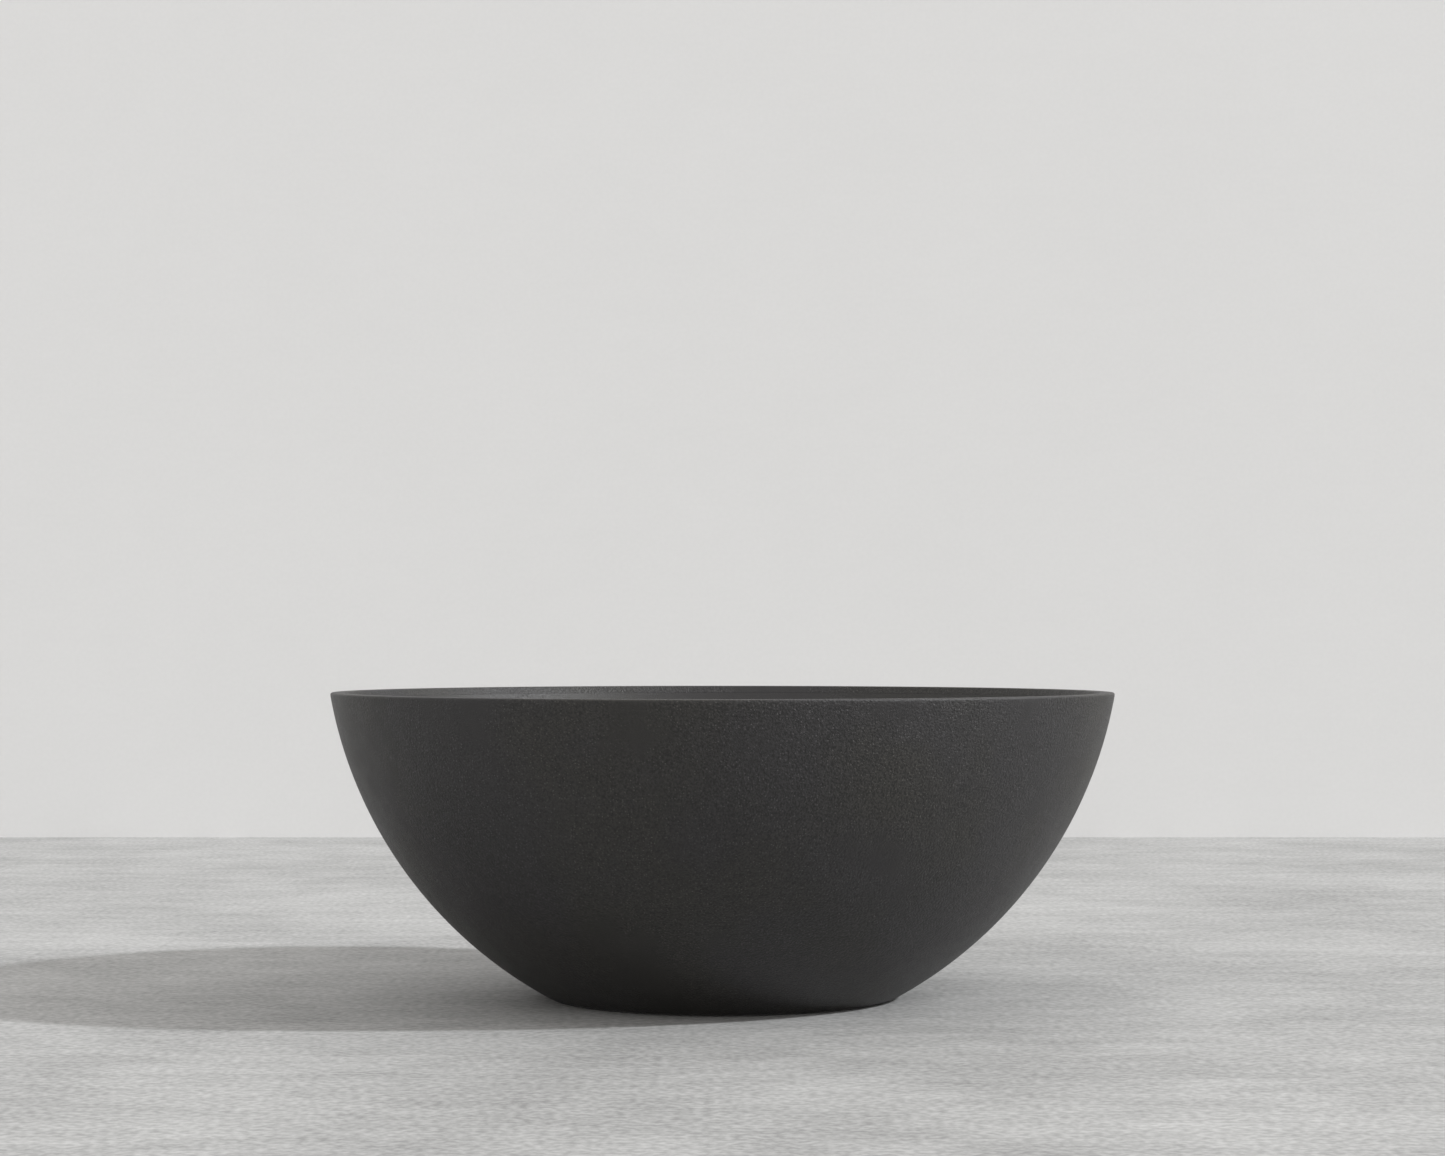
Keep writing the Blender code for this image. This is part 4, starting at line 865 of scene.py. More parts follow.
# %% The click spring
WIRE_RADIUS = 0.0005
SPRING_COILS = 6
spring_reach = 0.0046
spring_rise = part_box("plug_spring")[1].z - spring_low - 2 * WIRE_RADIUS
bpy.ops.object.select_all(action="DESELECT")
bpy.ops.mesh.primitive_circle_add(
    vertices=12, radius=WIRE_RADIUS, location=(spring_reach, 0, spring_low + WIRE_RADIUS),
    rotation=(math.pi / 2, 0, 0),
)
bpy.ops.object.transform_apply(location=True, rotation=True, scale=True)
click_spring = bpy.context.object
click_spring.name = click_spring.data.name = "click_spring"
coil = click_spring.modifiers.new("coil", "SCREW")
coil.screw_offset = spring_rise / SPRING_COILS
coil.iterations = SPRING_COILS
coil.steps = coil.render_steps = 28
bpy.ops.object.modifier_apply(modifier="coil")
bpy.ops.object.mode_set(mode="EDIT")
bpy.ops.mesh.select_all(action="SELECT")
bpy.ops.mesh.fill_holes(sides=0)
bpy.ops.mesh.normals_make_consistent(inside=False)
bpy.ops.object.mode_set(mode="OBJECT")
bpy.ops.object.shade_smooth_by_angle(angle=SMOOTH_ABOVE)
dress(click_spring, zinc_plate, "zinc_steel", "root", "plug_spring")

# %% The seals and the brass nut
for name, node in (("flange_gasket", "flange_seal"), ("washer_below", "under_seal")):
    low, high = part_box(node)
    seal = ring(name, TUBE_RADIUS + 0.0005, high.x, low.z, high.z, 0.0004)
    dress(seal, black_rubber, "black_rubber", "root", node)

BACK_NUT_FLATS = 0.060
nut_low, nut_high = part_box("back_nut")
brass_nut = hexagon("brass_nut", BACK_NUT_FLATS, nut_low.z, nut_high.z)
combine(brass_nut, rod("nut_bore", TUBE_RADIUS + 0.0004, 0, tub_height, 96), "DIFFERENCE")
dress(brass_nut, turned_brass, "brass", "root", "back_nut")

# %% [markdown]
# ## The pipes under the tub
# Below the stone everything is moulded plastic: a body that gathers the drain and the overflow, a
# drum trap whose lid comes off for cleaning, and a pipe on its way out. They are round bodies with
# tubes let into their sides, so each starts as a turned drum, tubes are joined on, and the water's
# way is cut through them all at the end. Union nuts have flutes for wet fingers.

# %% The body under the waste
ALONG_X = (0, math.pi / 2, 0)
ALONG_Y = (-math.pi / 2, 0, 0)
BODY_RADIUS = 0.0287
BODY_BORE = 0.0242
OUTLET_RADIUS = 0.019
OUTLET_BORE = 0.0155
OUTLET_REACH = 0.052
SPIGOT_RADIUS = 0.0062
SPIGOT_BORE = 0.0044
body_low, body_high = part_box("waste_body")
axis_height = body_low.z + 0.005 + OUTLET_BORE
spigot_end = body_high.y
axis_place = (0, 0, axis_height)

gather_body = turn("gather_body", rounded([
    (0, body_high.z),
    (BODY_RADIUS, body_high.z, 0.0008),
    (BODY_RADIUS, body_high.z - 0.012, 0.0006),
    (BODY_RADIUS - 0.0012, body_high.z - 0.0135, 0.0006),
    (BODY_RADIUS - 0.0012, axis_height + 0.0205),
    (BODY_RADIUS, axis_height + 0.0195),
    (BODY_RADIUS, body_low.z, 0.003),
    (0, body_low.z),
]))
outlet_outline = [(0, TUBE_BORE), (OUTLET_RADIUS - 0.0004, TUBE_BORE)]
outlet_outline += threads(OUTLET_RADIUS, OUTLET_REACH - 0.014, OUTLET_REACH - 0.001, 0.002, 0.0005)
outlet_outline += [(OUTLET_RADIUS - 0.0006, OUTLET_REACH), (0, OUTLET_REACH)]
combine(gather_body, settle(turn("outlet", outlet_outline), axis_place, ALONG_X), "UNION")
spigot = rod("spigot", SPIGOT_RADIUS, TUBE_BORE, spigot_end)
combine(gather_body, settle(spigot, axis_place, ALONG_Y), "UNION")
shoulder = tube_end - 0.004
chamber = [
    (0, body_low.z + 0.004), (TUBE_BORE, body_low.z + 0.004), (TUBE_BORE, shoulder),
    (BODY_BORE, shoulder), (BODY_BORE, tub_height), (0, tub_height),
]
combine(gather_body, turn("chamber", chamber), "DIFFERENCE")
way_out = rod("way_out", OUTLET_BORE, 0, OUTLET_REACH * 1.1)
combine(gather_body, settle(way_out, axis_place, ALONG_X), "DIFFERENCE")
way_in = rod("way_in", SPIGOT_BORE, 0, spigot_end * 1.1)
combine(gather_body, settle(way_in, axis_place, ALONG_Y), "DIFFERENCE")
dress(gather_body, white_plastic, "white_plastic", "root", "waste_body")

# %% The drum trap
TRAP_OFFSET = 0.120
TRAP_RADIUS = 0.042
TRAP_WALL = 0.0035
TRAP_TOP = 0.0781
TRAP_FLOOR = 0.006
INLET_RADIUS = 0.015
SOCKET_RADIUS = 0.0226
PIPE_RADIUS = 0.020
SOCKET_REACH = 0.195
trap_place = (TRAP_OFFSET, 0, 0)
drum_bore = TRAP_RADIUS - TRAP_WALL
drum_outline = rounded([
    (0, TRAP_TOP),
    (TRAP_RADIUS, TRAP_TOP, 0.0005),
    (TRAP_RADIUS, TRAP_TOP - 0.007, 0.0004),
    (TRAP_RADIUS - 0.001, TRAP_TOP - 0.008, 0.0004),
    (TRAP_RADIUS - 0.001, TRAP_FLOOR + 0.0035, 0.005),
    (TRAP_RADIUS - 0.006, TRAP_FLOOR, 0.004),
    (0, TRAP_FLOOR),
], steps=6)
drum = settle(turn("drum_trap", drum_outline), trap_place)
tubes = (
    ("inlet", INLET_RADIUS, OUTLET_REACH - 0.008, TRAP_OFFSET - drum_bore),
    ("socket", SOCKET_RADIUS, TRAP_OFFSET + drum_bore, SOCKET_REACH),
)
for name, radius, start, end in tubes:
    combine(drum, settle(rod(name, radius, start, end, 96), axis_place, ALONG_X), "UNION")
chamber = rod("chamber", drum_bore, TRAP_FLOOR + TRAP_WALL, tub_height, 96)
combine(drum, settle(chamber, trap_place), "DIFFERENCE")
bores = (
    ("inlet_bore", 0.0125, OUTLET_REACH * 0.8, TRAP_OFFSET),
    ("outlet_bore", 0.018, TRAP_OFFSET, SOCKET_REACH * 1.1),
    ("socket_bore", PIPE_RADIUS + 0.0004, 0.1747, SOCKET_REACH * 1.1),
)
for name, radius, start, end in bores:
    combine(drum, settle(rod(name, radius, start, end, 96), axis_place, ALONG_X), "DIFFERENCE")
dress(drum, white_plastic, "white_plastic", "root", "trap_body")

# %% The trap's lid and its seal
seal_low, seal_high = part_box("trap_lid_seal")
lid_seal = settle(
    ring("lid_seal", drum_bore, TRAP_RADIUS, seal_low.z, seal_high.z, 0.0005), trap_place
)
dress(lid_seal, black_rubber, "black_rubber", "root", "trap_lid_seal")

lid_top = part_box("trap_lid")[1].z
lid_low = seal_high.z + GLUE_GAP
plug_low = lid_low - 0.006
lid = turn("trap_cover", rounded([
    (0, lid_top - 0.0012),
    (0.026, lid_top - 0.0012, 0.0008),
    (0.028, lid_top, 0.0008),
    (TRAP_RADIUS - 0.0012, lid_top),
    (TRAP_RADIUS, lid_top - 0.0012),
    (TRAP_RADIUS, lid_low),
    (drum_bore - 0.0005, lid_low),
    (drum_bore - 0.0005, plug_low, 0.0008),
    (0, plug_low),
]))
grip(lid, TRAP_RADIUS, 0.0009)
baffle_low = TRAP_FLOOR + TRAP_WALL + 0.006
baffle_size = (0.003, 2 * drum_bore * 0.95, plug_low - baffle_low + 0.003)
combine(lid, bar("baffle", baffle_size, (0, 0, baffle_low + baffle_size[2] / 2)), "UNION")
dress(settle(lid, trap_place), grey_plastic, "grey_plastic", "root", "trap_lid")

# %% Union nuts with their rubber rings
def make_union(name, nut_node, seal_node, outer, bore, end):
    """A fluted nut on the end of a tube, and the ring that it squeezes on the inner pipe."""
    seal = ring(f"{name}_ring", bore, outer, end + GLUE_GAP, end + 0.0033, 0.0006)
    dress(settle(seal, axis_place, ALONG_X), black_rubber, "black_rubber", "root", seal_node)
    lip_low, lip_top = end + 0.0036, end + 0.0066
    start, thread, wide = end - 0.012, outer + 0.0004, outer + 0.0044
    outline = rounded([
        (bore, lip_top, 0.0005),
        (wide - 0.0012, lip_top, 0.0010),
        (wide, lip_top - 0.003),
        (wide, start + 0.0015),
        (wide - 0.0006, start),
        (thread, start),
        (thread, lip_low, 0.0004),
        (bore, lip_low),
    ])
    nut = grip(turn(name, outline), wide, 0.0009)
    dress(settle(nut, axis_place, ALONG_X), white_plastic, "white_plastic", "root", nut_node)


make_union("trap_union", "trap_nut", "trap_washer", OUTLET_RADIUS, INLET_RADIUS + 0.0004, OUTLET_REACH)
make_union("pipe_union", "outlet_nut", "outlet_seal", SOCKET_RADIUS, PIPE_RADIUS + 0.0004, SOCKET_REACH)

# %% The pipe on its way out
pipe_low, pipe_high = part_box("outlet_pipe")
waste_pipe = ring("waste_pipe", 0.018, PIPE_RADIUS, pipe_low.x, pipe_high.x, 0.0006)
dress(settle(waste_pipe, axis_place, ALONG_X), grey_plastic, "grey_plastic", "root", "outlet_pipe")

# %% [markdown]
# ## The overflow
# High on the far wall a small steel disc hides the overflow. It stands off the stone on three
# pegs, so water slips in behind it, through a cross-shaped grid, into a cup behind the wall. Each
# of these is turned upright at the origin and only then leaned onto the overflow's axis.

# %% The grid
GRID_RADIUS = 0.0285
GRID_LOW = GLUE_GAP - SEAT_DEPTH
GRID_TOP = GRID_LOW + 0.003
hole_ring = OVERFLOW_HOLE - 0.0005
grid = turn("overflow_grating", rounded([
    (GRID_RADIUS, GRID_LOW, 0.0003),
    (GRID_RADIUS, GRID_TOP - 0.0006, 0.0005),
    (GRID_RADIUS - 0.0012, GRID_TOP, 0.0010),
    (hole_ring, GRID_TOP, 0.0006),
    (hole_ring, GRID_LOW, 0.0003),
]))
grid_middle = (0, 0, (GRID_LOW + GRID_TOP) / 2)
bar_length = OVERFLOW_HOLE + GRID_RADIUS - 0.003
for size in ((bar_length, 0.004, 0.0027), (0.004, bar_length, 0.0027)):
    combine(grid, bar("grid_bar", size, grid_middle), "UNION")
combine(grid, rod("grid_hub", 0.005, GRID_LOW, GRID_TOP), "UNION")
combine(grid, rod("grid_bore", 0.0029, -0.01, 0.01), "DIFFERENCE")
settle(grid, overflow_place, overflow_tilt)
dress(grid, overflow_steel, "brushed_steel", "root", "overflow_grid")

# %% The screw that clamps it
CUP_DEPTH = 0.0145
RUBBER_THICKNESS = 0.003
cup_top = -BASIN_WALL - 2 * GLUE_GAP - RUBBER_THICKNESS
screw_tip = cup_top - CUP_DEPTH * 0.6
head_low = GRID_TOP + GLUE_GAP
screw = turn("clamp_screw", rounded([
    (0, head_low + 0.0025),
    (0.003, head_low + 0.0025, 0.0008),
    (0.005, head_low + 0.0012, 0.0008),
    (0.005, head_low, 0.0003),
    (0.0025, head_low),
    (0.0025, -0.002),
    *reversed(threads(0.0025, screw_tip + 0.001, -0.003, 0.0008, 0.0003)),
    (0.0018, screw_tip, 0.0004),
    (0, screw_tip),
]), 64)
combine(screw, bar("slot", (0.012, 0.001, 0.0024), (0, 0, head_low + 0.0025), 0.0001), "DIFFERENCE")
settle(screw, overflow_place, overflow_tilt)
dress(screw, zinc_plate, "zinc_steel", "root", "overflow_screw")

# %% The disc on its pegs
DISC_RADIUS = 0.032
DISC_LOW = 0.0085
DISC_EDGE = 0.011
DISC_DOME = 0.0015
disc_dome = [
    (DISC_RADIUS * share, DISC_EDGE + DISC_DOME * (1 - share**2))
    for share in (0, 0.12, 0.24, 0.36, 0.48, 0.6, 0.7, 0.8, 0.88, 0.93)
]
disc = turn(
    "overflow_disc",
    rounded([
        *disc_dome,
        (DISC_RADIUS, DISC_EDGE, 0.0009),
        (DISC_RADIUS, DISC_LOW, 0.0006),
        (0, DISC_LOW),
    ], steps=6),
    128,
)
peg_reach = (OVERFLOW_HOLE + GRID_RADIUS) / 2
for index in range(3):
    angle = math.tau * (index + 0.25) / 3
    peg = rod("peg", 0.002, head_low, (DISC_LOW + DISC_EDGE) / 2, 32)
    settle(peg, (peg_reach * math.cos(angle), peg_reach * math.sin(angle), 0))
    combine(disc, peg, "UNION")
settle(disc, overflow_place, overflow_tilt)
dress(disc, overflow_steel, "brushed_steel", "root", "overflow_cover")

# %% The seal and the cup behind the wall
CUP_RADIUS = 0.026
cup_bore = CUP_RADIUS - 0.0033
seal_top = -BASIN_WALL - GLUE_GAP
back_seal = ring("overflow_ring", cup_bore, CUP_RADIUS, seal_top - RUBBER_THICKNESS, seal_top, 0.0008)
settle(back_seal, overflow_place, overflow_tilt)
dress(back_seal, black_rubber, "black_rubber", "root", "overflow_seal")

cup_low = cup_top - CUP_DEPTH
cup_floor = cup_low + 0.003
cup = turn("overflow_cup", rounded([
    (0, screw_tip - GLUE_GAP),
    (0.0029, screw_tip - GLUE_GAP),
    (0.0029, cup_top, 0.0003),
    (0.0044, cup_top, 0.0003),
    (0.0044, cup_floor, 0.0008),
    (cup_bore, cup_floor, 0.0015),
    (cup_bore, cup_top, 0.0005),
    (CUP_RADIUS, cup_top, 0.0005),
    (CUP_RADIUS, cup_low, 0.0025),
    (0, cup_low),
], steps=6))
cup_spigot_end = CUP_RADIUS + 0.026
spigot = rod("cup_spigot", SPIGOT_RADIUS, cup_bore + 0.001, cup_spigot_end)
combine(cup, settle(spigot, (0, 0, screw_tip), (math.pi / 2, 0, 0)), "UNION")
way_down = rod("way_down", SPIGOT_BORE, cup_bore - 0.0018, cup_spigot_end * 1.1)
combine(cup, settle(way_down, (0, 0, screw_tip), (math.pi / 2, 0, 0)), "DIFFERENCE")
settle(cup, overflow_place, overflow_tilt)
dress(cup, white_plastic, "white_plastic", "root", "overflow_body")

# %% [markdown]
# ## The overflow hose
# A corrugated hose joins the cup to the body under the waste. It lies in the hollow between the
# two stone shells, halfway between them, with each end pushed over a spigot and clipped. Its way
# is one smooth curve. Points are laid along it 1.5 mm apart, and every second one is drawn thinner,
# which makes the folds.

# %% The way of the hose
HOSE_RADIUS = 0.009
HOSE_WALL = 0.0018
HOSE_OVERLAP = 0.014
HOSE_RISE = 0.150
cup_depth = screw_tip
down = (0, -math.sin(-lean_angle), -math.cos(-lean_angle))
spigot_tip = (
    0,
    overflow_reach - cup_depth * math.cos(-lean_angle) + down[1] * cup_spigot_end,
    OVERFLOW_HEIGHT + cup_depth * math.sin(-lean_angle) + down[2] * cup_spigot_end,
)


def between_shells(height):
    """How far out the middle of the hollow is at a height."""
    if height > heel_centre[1] + (HEEL_RADIUS + BASIN_WALL) * math.sin(heel_top):
        back = on_arc(wall_centre, WALL_ARC + BASIN_WALL, height)[0]
    else:
        back = on_arc(heel_centre, HEEL_RADIUS + BASIN_WALL, height)[0]
    return (back + on_arc(bowl_centre, shell_face, height)[0]) / 2


under_board = board_high.x - 0.060
hose_way = [
    (0, spigot_end - HOSE_OVERLAP, axis_height),
    (0, spigot_end, axis_height),
    (0, spigot_end + 2 * HOSE_RADIUS, axis_height),
    (0, under_board * 0.6, axis_height),
    (0, under_board, axis_height + HOSE_RADIUS / 4),
]
hose_top = spigot_tip[2] - 4 * HOSE_RADIUS
for step in range(5):
    height = HOSE_RISE + (hose_top - HOSE_RISE) * step / 4
    hose_way.append((0, between_shells(height), height))
for reach in (2 * HOSE_RADIUS, 0, -HOSE_OVERLAP):
    hose_way.append(tuple(tip + along * reach for tip, along in zip(spigot_tip, down)))
print("the hose passes", len(hose_way), "points")

# %% Draw the hose
FOLD = 0.0015
bpy.ops.object.select_all(action="DESELECT")
bpy.ops.curve.primitive_bezier_curve_add()
guide = bpy.context.object
points = guide.data.splines[0].bezier_points
points.add(len(hose_way) - len(points))
for point, place in zip(points, hose_way):
    point.co = place
    point.handle_left_type = point.handle_right_type = "AUTO"
guide.data.resolution_u = 64
bpy.ops.object.convert(target="MESH")
line = [vertex.co.copy() for vertex in guide.data.vertices]
bpy.data.objects.remove(guide, do_unlink=True)
lengths = [0.0]
for here, there in zip(line, line[1:]):
    lengths.append(lengths[-1] + (there - here).length)
folds = int(lengths[-1] / FOLD)
even = []
at = 0
for fold in range(folds + 1):
    want = lengths[-1] * fold / folds
    while at < len(lengths) - 2 and lengths[at + 1] < want:
        at += 1
    share = (want - lengths[at]) / (lengths[at + 1] - lengths[at])
    even.append(line[at].lerp(line[at + 1], share))

bpy.ops.object.select_all(action="DESELECT")
bpy.ops.curve.primitive_nurbs_path_add()
hose = bpy.context.object
hose.name = "corrugated_hose"
hose.data.splines.clear()
strand = hose.data.splines.new("POLY")
strand.points.add(len(even) - 1)
cuff = int(0.018 / FOLD)
for index, point in enumerate(strand.points):
    point.co = (*even[index], 1.0)
    smooth_end = index < cuff or index > folds - cuff
    point.radius = 1.0 if smooth_end or index % 2 else 0.86
hose.data.bevel_depth = HOSE_RADIUS
hose.data.bevel_resolution = 6
hose.data.twist_mode = "MINIMUM"
bpy.ops.object.convert(target="MESH")
hose = bpy.context.object
hose.name = hose.data.name = "corrugated_hose"
wall = hose.modifiers.new("wall", "SOLIDIFY")
wall.thickness = HOSE_WALL
wall.offset = -1.0
bpy.ops.object.modifier_apply(modifier="wall")
settle(hose)
bpy.ops.object.shade_smooth_by_angle(angle=math.radians(60))
dress(hose, grey_plastic, "grey_plastic", "root", "overflow_hose")
print("hose", round(lengths[-1], 3), "m long with", folds // 2, "folds")

# %% The hose clips
def clip_outline(low):
    """A band with a rolled bead along each edge."""
    inner, outer, width = HOSE_RADIUS + 0.0004, HOSE_RADIUS + 0.0019, 0.008
    return rounded([
        (inner, low, 0.0004),
        (outer, low, 0.0006),
        (outer, low + 0.002, 0.0006),
        (outer - 0.0007, low + 0.0026),
        (outer - 0.0007, low + width - 0.0026),
        (outer, low + width - 0.002, 0.0006),
        (outer, low + width, 0.0006),
        (inner, low + width, 0.0004),
    ])


low_clip = turn("low_clip", clip_outline(spigot_end - HOSE_OVERLAP + 0.002))
settle(low_clip, axis_place, ALONG_Y)
dress(low_clip, zinc_plate, "zinc_steel", "root", "hose_clip_lower")
high_clip = turn("high_clip", clip_outline(0.002 - HOSE_OVERLAP))
settle(high_clip, spigot_tip, (math.atan2(-down[1], down[2]), 0, 0))
dress(high_clip, zinc_plate, "zinc_steel", "root", "hose_clip_upper")

# %% [markdown]
# ## The board and the feet
# A ring of plywood is glued under the basin's floor, because stone can't hold a screw. Four feet
# are fixed to it: a pressed socket, a threaded stud with a locknut, and a rubber pad that the stud
# turns in. One foot is made and then copied, a quarter turn at a time. Each copy gets its own mesh,
# because each foot is wound up or down by itself.

# %% Where the feet stand
FEET = 4
feet_radius = ring_inner - 0.065
screw_reach = 0.026


def foot_spot(number):
    """The place of a foot's axis on the floor, and its direction from the middle."""
    angle = math.tau * (number - 0.5) / FEET
    return (feet_radius * math.cos(angle), feet_radius * math.sin(angle), 0), angle


def screw_spots(number):
    """The letter and place of the two screws of a foot."""
    (x, y, _), angle = foot_spot(number)
    for letter, side in (("a", 1), ("b", -1)):
        reach = side * screw_reach
        yield letter, (x - reach * math.sin(angle), y + reach * math.cos(angle), 0)


print("feet stand", round(feet_radius, 4), "m from the middle")

# %% The plywood ring
ACCESS_RADIUS = 0.070
board = ring("plywood_ring", ACCESS_RADIUS, board_high.x, board_low.z, board_high.z, 0.0012, 160)
for number in range(1, FEET + 1):
    spot = foot_spot(number)[0]
    combine(board, settle(rod("stud_hole", 0.008, 0, tub_height, 48), spot), "DIFFERENCE")
    for letter, place in screw_spots(number):
        combine(board, settle(rod("pilot", 0.0023, 0, tub_height, 24), place), "DIFFERENCE")
dress(board, birch_ply, "board_ply", "root", "base_board")

# %% Copies of a foot's pieces
def copy_of(piece):
    """A second object with a mesh of its own."""
    only(piece)
    bpy.ops.object.duplicate()
    return bpy.context.object


def copy_round(piece, material, slot, bodies, nodes):
    """Dresses a piece of the first foot and a copy of it for each of the other feet."""
    for number in range(1, FEET + 1):
        each = copy_of(piece) if number < FEET else piece
        settle(each, (0, 0, 0), (0, 0, math.tau * (number - 1) / FEET))
        each.name = each.data.name = f"{nodes}_{number}_fine"
        dress(each, material, slot, bodies.format(number), f"{nodes}_{number}")


print("copies are made a quarter turn apart")

# %% The foot's pad
STUD_RADIUS = 0.006
PAD_RADIUS = 0.030
pad_low, pad_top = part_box("foot_pad_1")[0].z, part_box("foot_pad_1")[1].z
stud_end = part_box("foot_stud_1")[0].z
groove = 0.0008
under_pad = [(0, pad_low)]
for radius in (0.006, 0.012, 0.018, 0.024):
    under_pad += [
        (radius, pad_low), (radius + 0.0006, pad_low + groove),
        (radius + 0.0020, pad_low + groove), (radius + 0.0026, pad_low),
    ]
pad_outline = rounded([
    *under_pad,
    (PAD_RADIUS, pad_low, 0.0008),
    (PAD_RADIUS, pad_low + 0.005, 0.0015),
    (0.0114, pad_top, 0.0015),
    (0.0064, pad_top, 0.0005),
    (0.0064, stud_end - GLUE_GAP),
    (0, stud_end - GLUE_GAP),
])
pad = settle(turn("pad", pad_outline), foot_spot(1)[0])
copy_round(pad, black_rubber, "black_rubber", "foot_{}_pad", "foot_pad")

# %% The threaded stud with its spanner hexagon
stud_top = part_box("foot_stud_1")[1].z
hex_low = pad_top + 0.005
stud_outline = rounded([
    (0, stud_top),
    (0.0045, stud_top),
    *reversed(threads(STUD_RADIUS, hex_low + 0.012, stud_top - 0.0015, 0.00175, 0.0007)),
    (STUD_RADIUS - 0.0007, hex_low + 0.0095),
    (STUD_RADIUS, hex_low + 0.009),
    (STUD_RADIUS, stud_end, 0.0012),
    (0, stud_end),
])
stud = turn("stud", stud_outline, 48)
combine(stud, hexagon("spanner_hexagon", 0.017, hex_low, hex_low + 0.010), "UNION")
settle(stud, foot_spot(1)[0])
copy_round(stud, zinc_plate, "zinc_steel", "foot_{}_stud", "foot_stud")

# %% The locknut and the pressed socket
foot_nut_low, foot_nut_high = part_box("foot_nut_1")
locknut = hexagon("locknut", 0.019, foot_nut_low.z, foot_nut_high.z)
combine(locknut, rod("nut_bore", STUD_RADIUS + 0.0004, 0, tub_height, 48), "DIFFERENCE")
settle(locknut, foot_spot(1)[0])
copy_round(locknut, zinc_plate, "zinc_steel", "root", "foot_nut")

socket_low, socket_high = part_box("foot_socket_1")
plate_low = socket_high.z - 0.003
socket_outline = rounded([
    (0.0064, socket_low.z, 0.0004),
    (0.013, socket_low.z, 0.0010),
    (0.013, plate_low, 0.0025),
    (0.034, plate_low, 0.0012),
    (0.036, plate_low + 0.001, 0.0006),
    (0.036, socket_high.z, 0.0008),
    (0.0064, socket_high.z, 0.0004),
])
socket = settle(turn("socket", socket_outline), foot_spot(1)[0])
for letter, place in screw_spots(1):
    combine(socket, settle(rod("screw_hole", 0.0024, 0, tub_height, 24), place), "DIFFERENCE")
copy_round(socket, zinc_plate, "zinc_steel", "root", "foot_socket")

# %% The wood screws
screw_low, screw_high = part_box("foot_screw_1a")
head_top = plate_low - GLUE_GAP
wood_outline = rounded([
    (0, screw_high.z),
    (0.002, screw_high.z - 0.002),
    *reversed(threads(0.002, head_top + 0.0045, screw_high.z - 0.0025, 0.0012, 0.0004)),
    (0.002, head_top + 0.004),
    (0.002, head_top),
    (0.004, head_top, 0.0003),
    (0.004, head_top - 0.001, 0.0006),
    (0.002, screw_low.z, 0.0008),
    (0, screw_low.z),
])
wood_screw = turn("wood_screw", wood_outline, 32)
for size in ((0.0036, 0.0008, 0.002), (0.0008, 0.0036, 0.002)):
    combine(wood_screw, bar("recess", size, (0, 0, screw_low.z), 0.0001), "DIFFERENCE")
for letter, place in screw_spots(1):
    first = settle(copy_of(wood_screw), place)
    for number in range(1, FEET + 1):
        each = settle(copy_of(first), (0, 0, 0), (0, 0, math.tau * (number - 1) / FEET))
        each.name = each.data.name = f"wood_screw_{number}{letter}"
        dress(each, zinc_plate, "zinc_steel", "root", f"foot_screw_{number}{letter}")
    bpy.data.objects.remove(first, do_unlink=True)
bpy.data.objects.remove(wood_screw, do_unlink=True)

# %% [markdown]
# ## Floor and wall
# The floor is plain pale cement, troweled and a little blotchy. It is only a stage. Each face is
# drawn from its front alone, so the tub can also be looked at from below and from behind. Inside
# the foot ring, where the tub hides it from above, the floor is left open. From below, light then
# falls in on the trap and the feet.

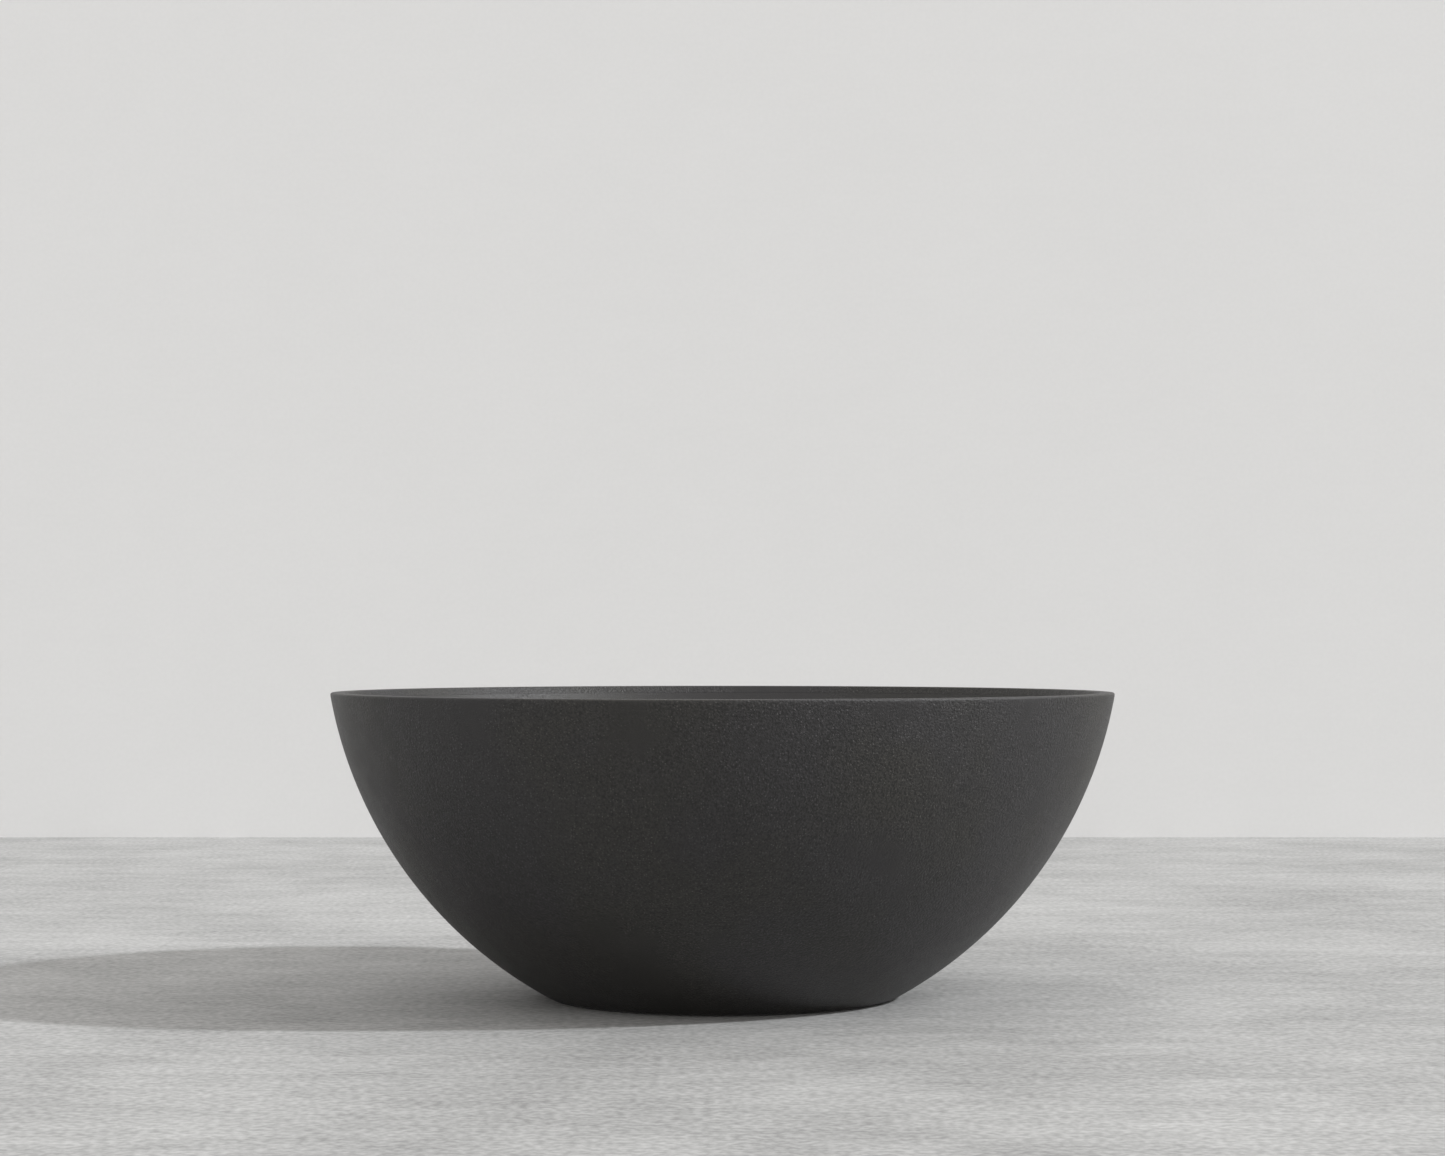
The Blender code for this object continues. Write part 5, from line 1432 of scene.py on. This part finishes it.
# %% The stage
def make_stage_material(name, colour, stroke, roughness):
    """A matt surface that is drawn from its front alone."""
    material, tree, shader, place = start_material(name)
    strokes = use_group(tree, streaks, Vector=place, Across_X=6.0, Across_Y=14.0, Across_Z=1.0)["Tone"]
    blotch = use_group(tree, cloud, Vector=place, Scale=1.6, Detail=8.0)["Tone"]
    speckle = use_group(tree, grain, Vector=place, Scale=70.0)["Tone"]
    tone = maths(tree, "MULTIPLY", strokes, 0.35)
    tone = maths(tree, "MULTIPLY_ADD", blotch, 0.5, tone)
    tone = maths(tree, "MULTIPLY_ADD", speckle, 0.85, tone)
    shade(tree, shader, colour, tone, stroke)
    shader.inputs["Roughness"].default_value = roughness
    clear = add(tree, "BsdfTransparent")
    side = add(tree, "NewGeometry").outputs["Backfacing"]
    one_sided = add(tree, "MixShader", {0: side, 1: shader.outputs[0], 2: clear.outputs[0]})
    tree.links.new(one_sided.outputs[0], tree.nodes["Material Output"].inputs["Surface"])
    return material


STAGE_HALF = 30.0
WALL_BEHIND = 4.78
OPEN_RADIUS = 0.325
bpy.ops.object.select_all(action="DESELECT")
bpy.ops.mesh.primitive_circle_add(vertices=96, radius=OPEN_RADIUS, location=(0, 0, -0.0005))
stage_floor = bpy.context.object
stage_floor.name = "stage_floor"
bpy.ops.object.mode_set(mode="EDIT")
bpy.ops.mesh.select_all(action="SELECT")
bpy.ops.mesh.extrude_edges_move()
growth = STAGE_HALF / OPEN_RADIUS
bpy.ops.transform.resize(value=(growth, growth, 1), center_override=(0, 0, 0))
bpy.ops.mesh.select_all(action="SELECT")
bpy.ops.mesh.normals_make_consistent(inside=False)
bpy.ops.object.mode_set(mode="OBJECT")
if stage_floor.data.polygons[0].normal.z < 0:
    bpy.ops.object.mode_set(mode="EDIT")
    bpy.ops.mesh.flip_normals()
    bpy.ops.object.mode_set(mode="OBJECT")
stage_floor.data.materials.append(make_stage_material("pale_cement", (0.395, 0.395, 0.392), 0.25, 0.7))
bpy.ops.object.select_all(action="DESELECT")
bpy.ops.mesh.primitive_plane_add(
    size=2 * STAGE_HALF, location=(0, WALL_BEHIND, 0), rotation=(math.pi / 2, 0, 0)
)
stage_wall = bpy.context.object
stage_wall.name = "stage_wall"
stage_wall.data.materials.append(make_stage_material("pale_wall", (0.75, 0.75, 0.75), 0.01, 0.9))
print("stage is set")
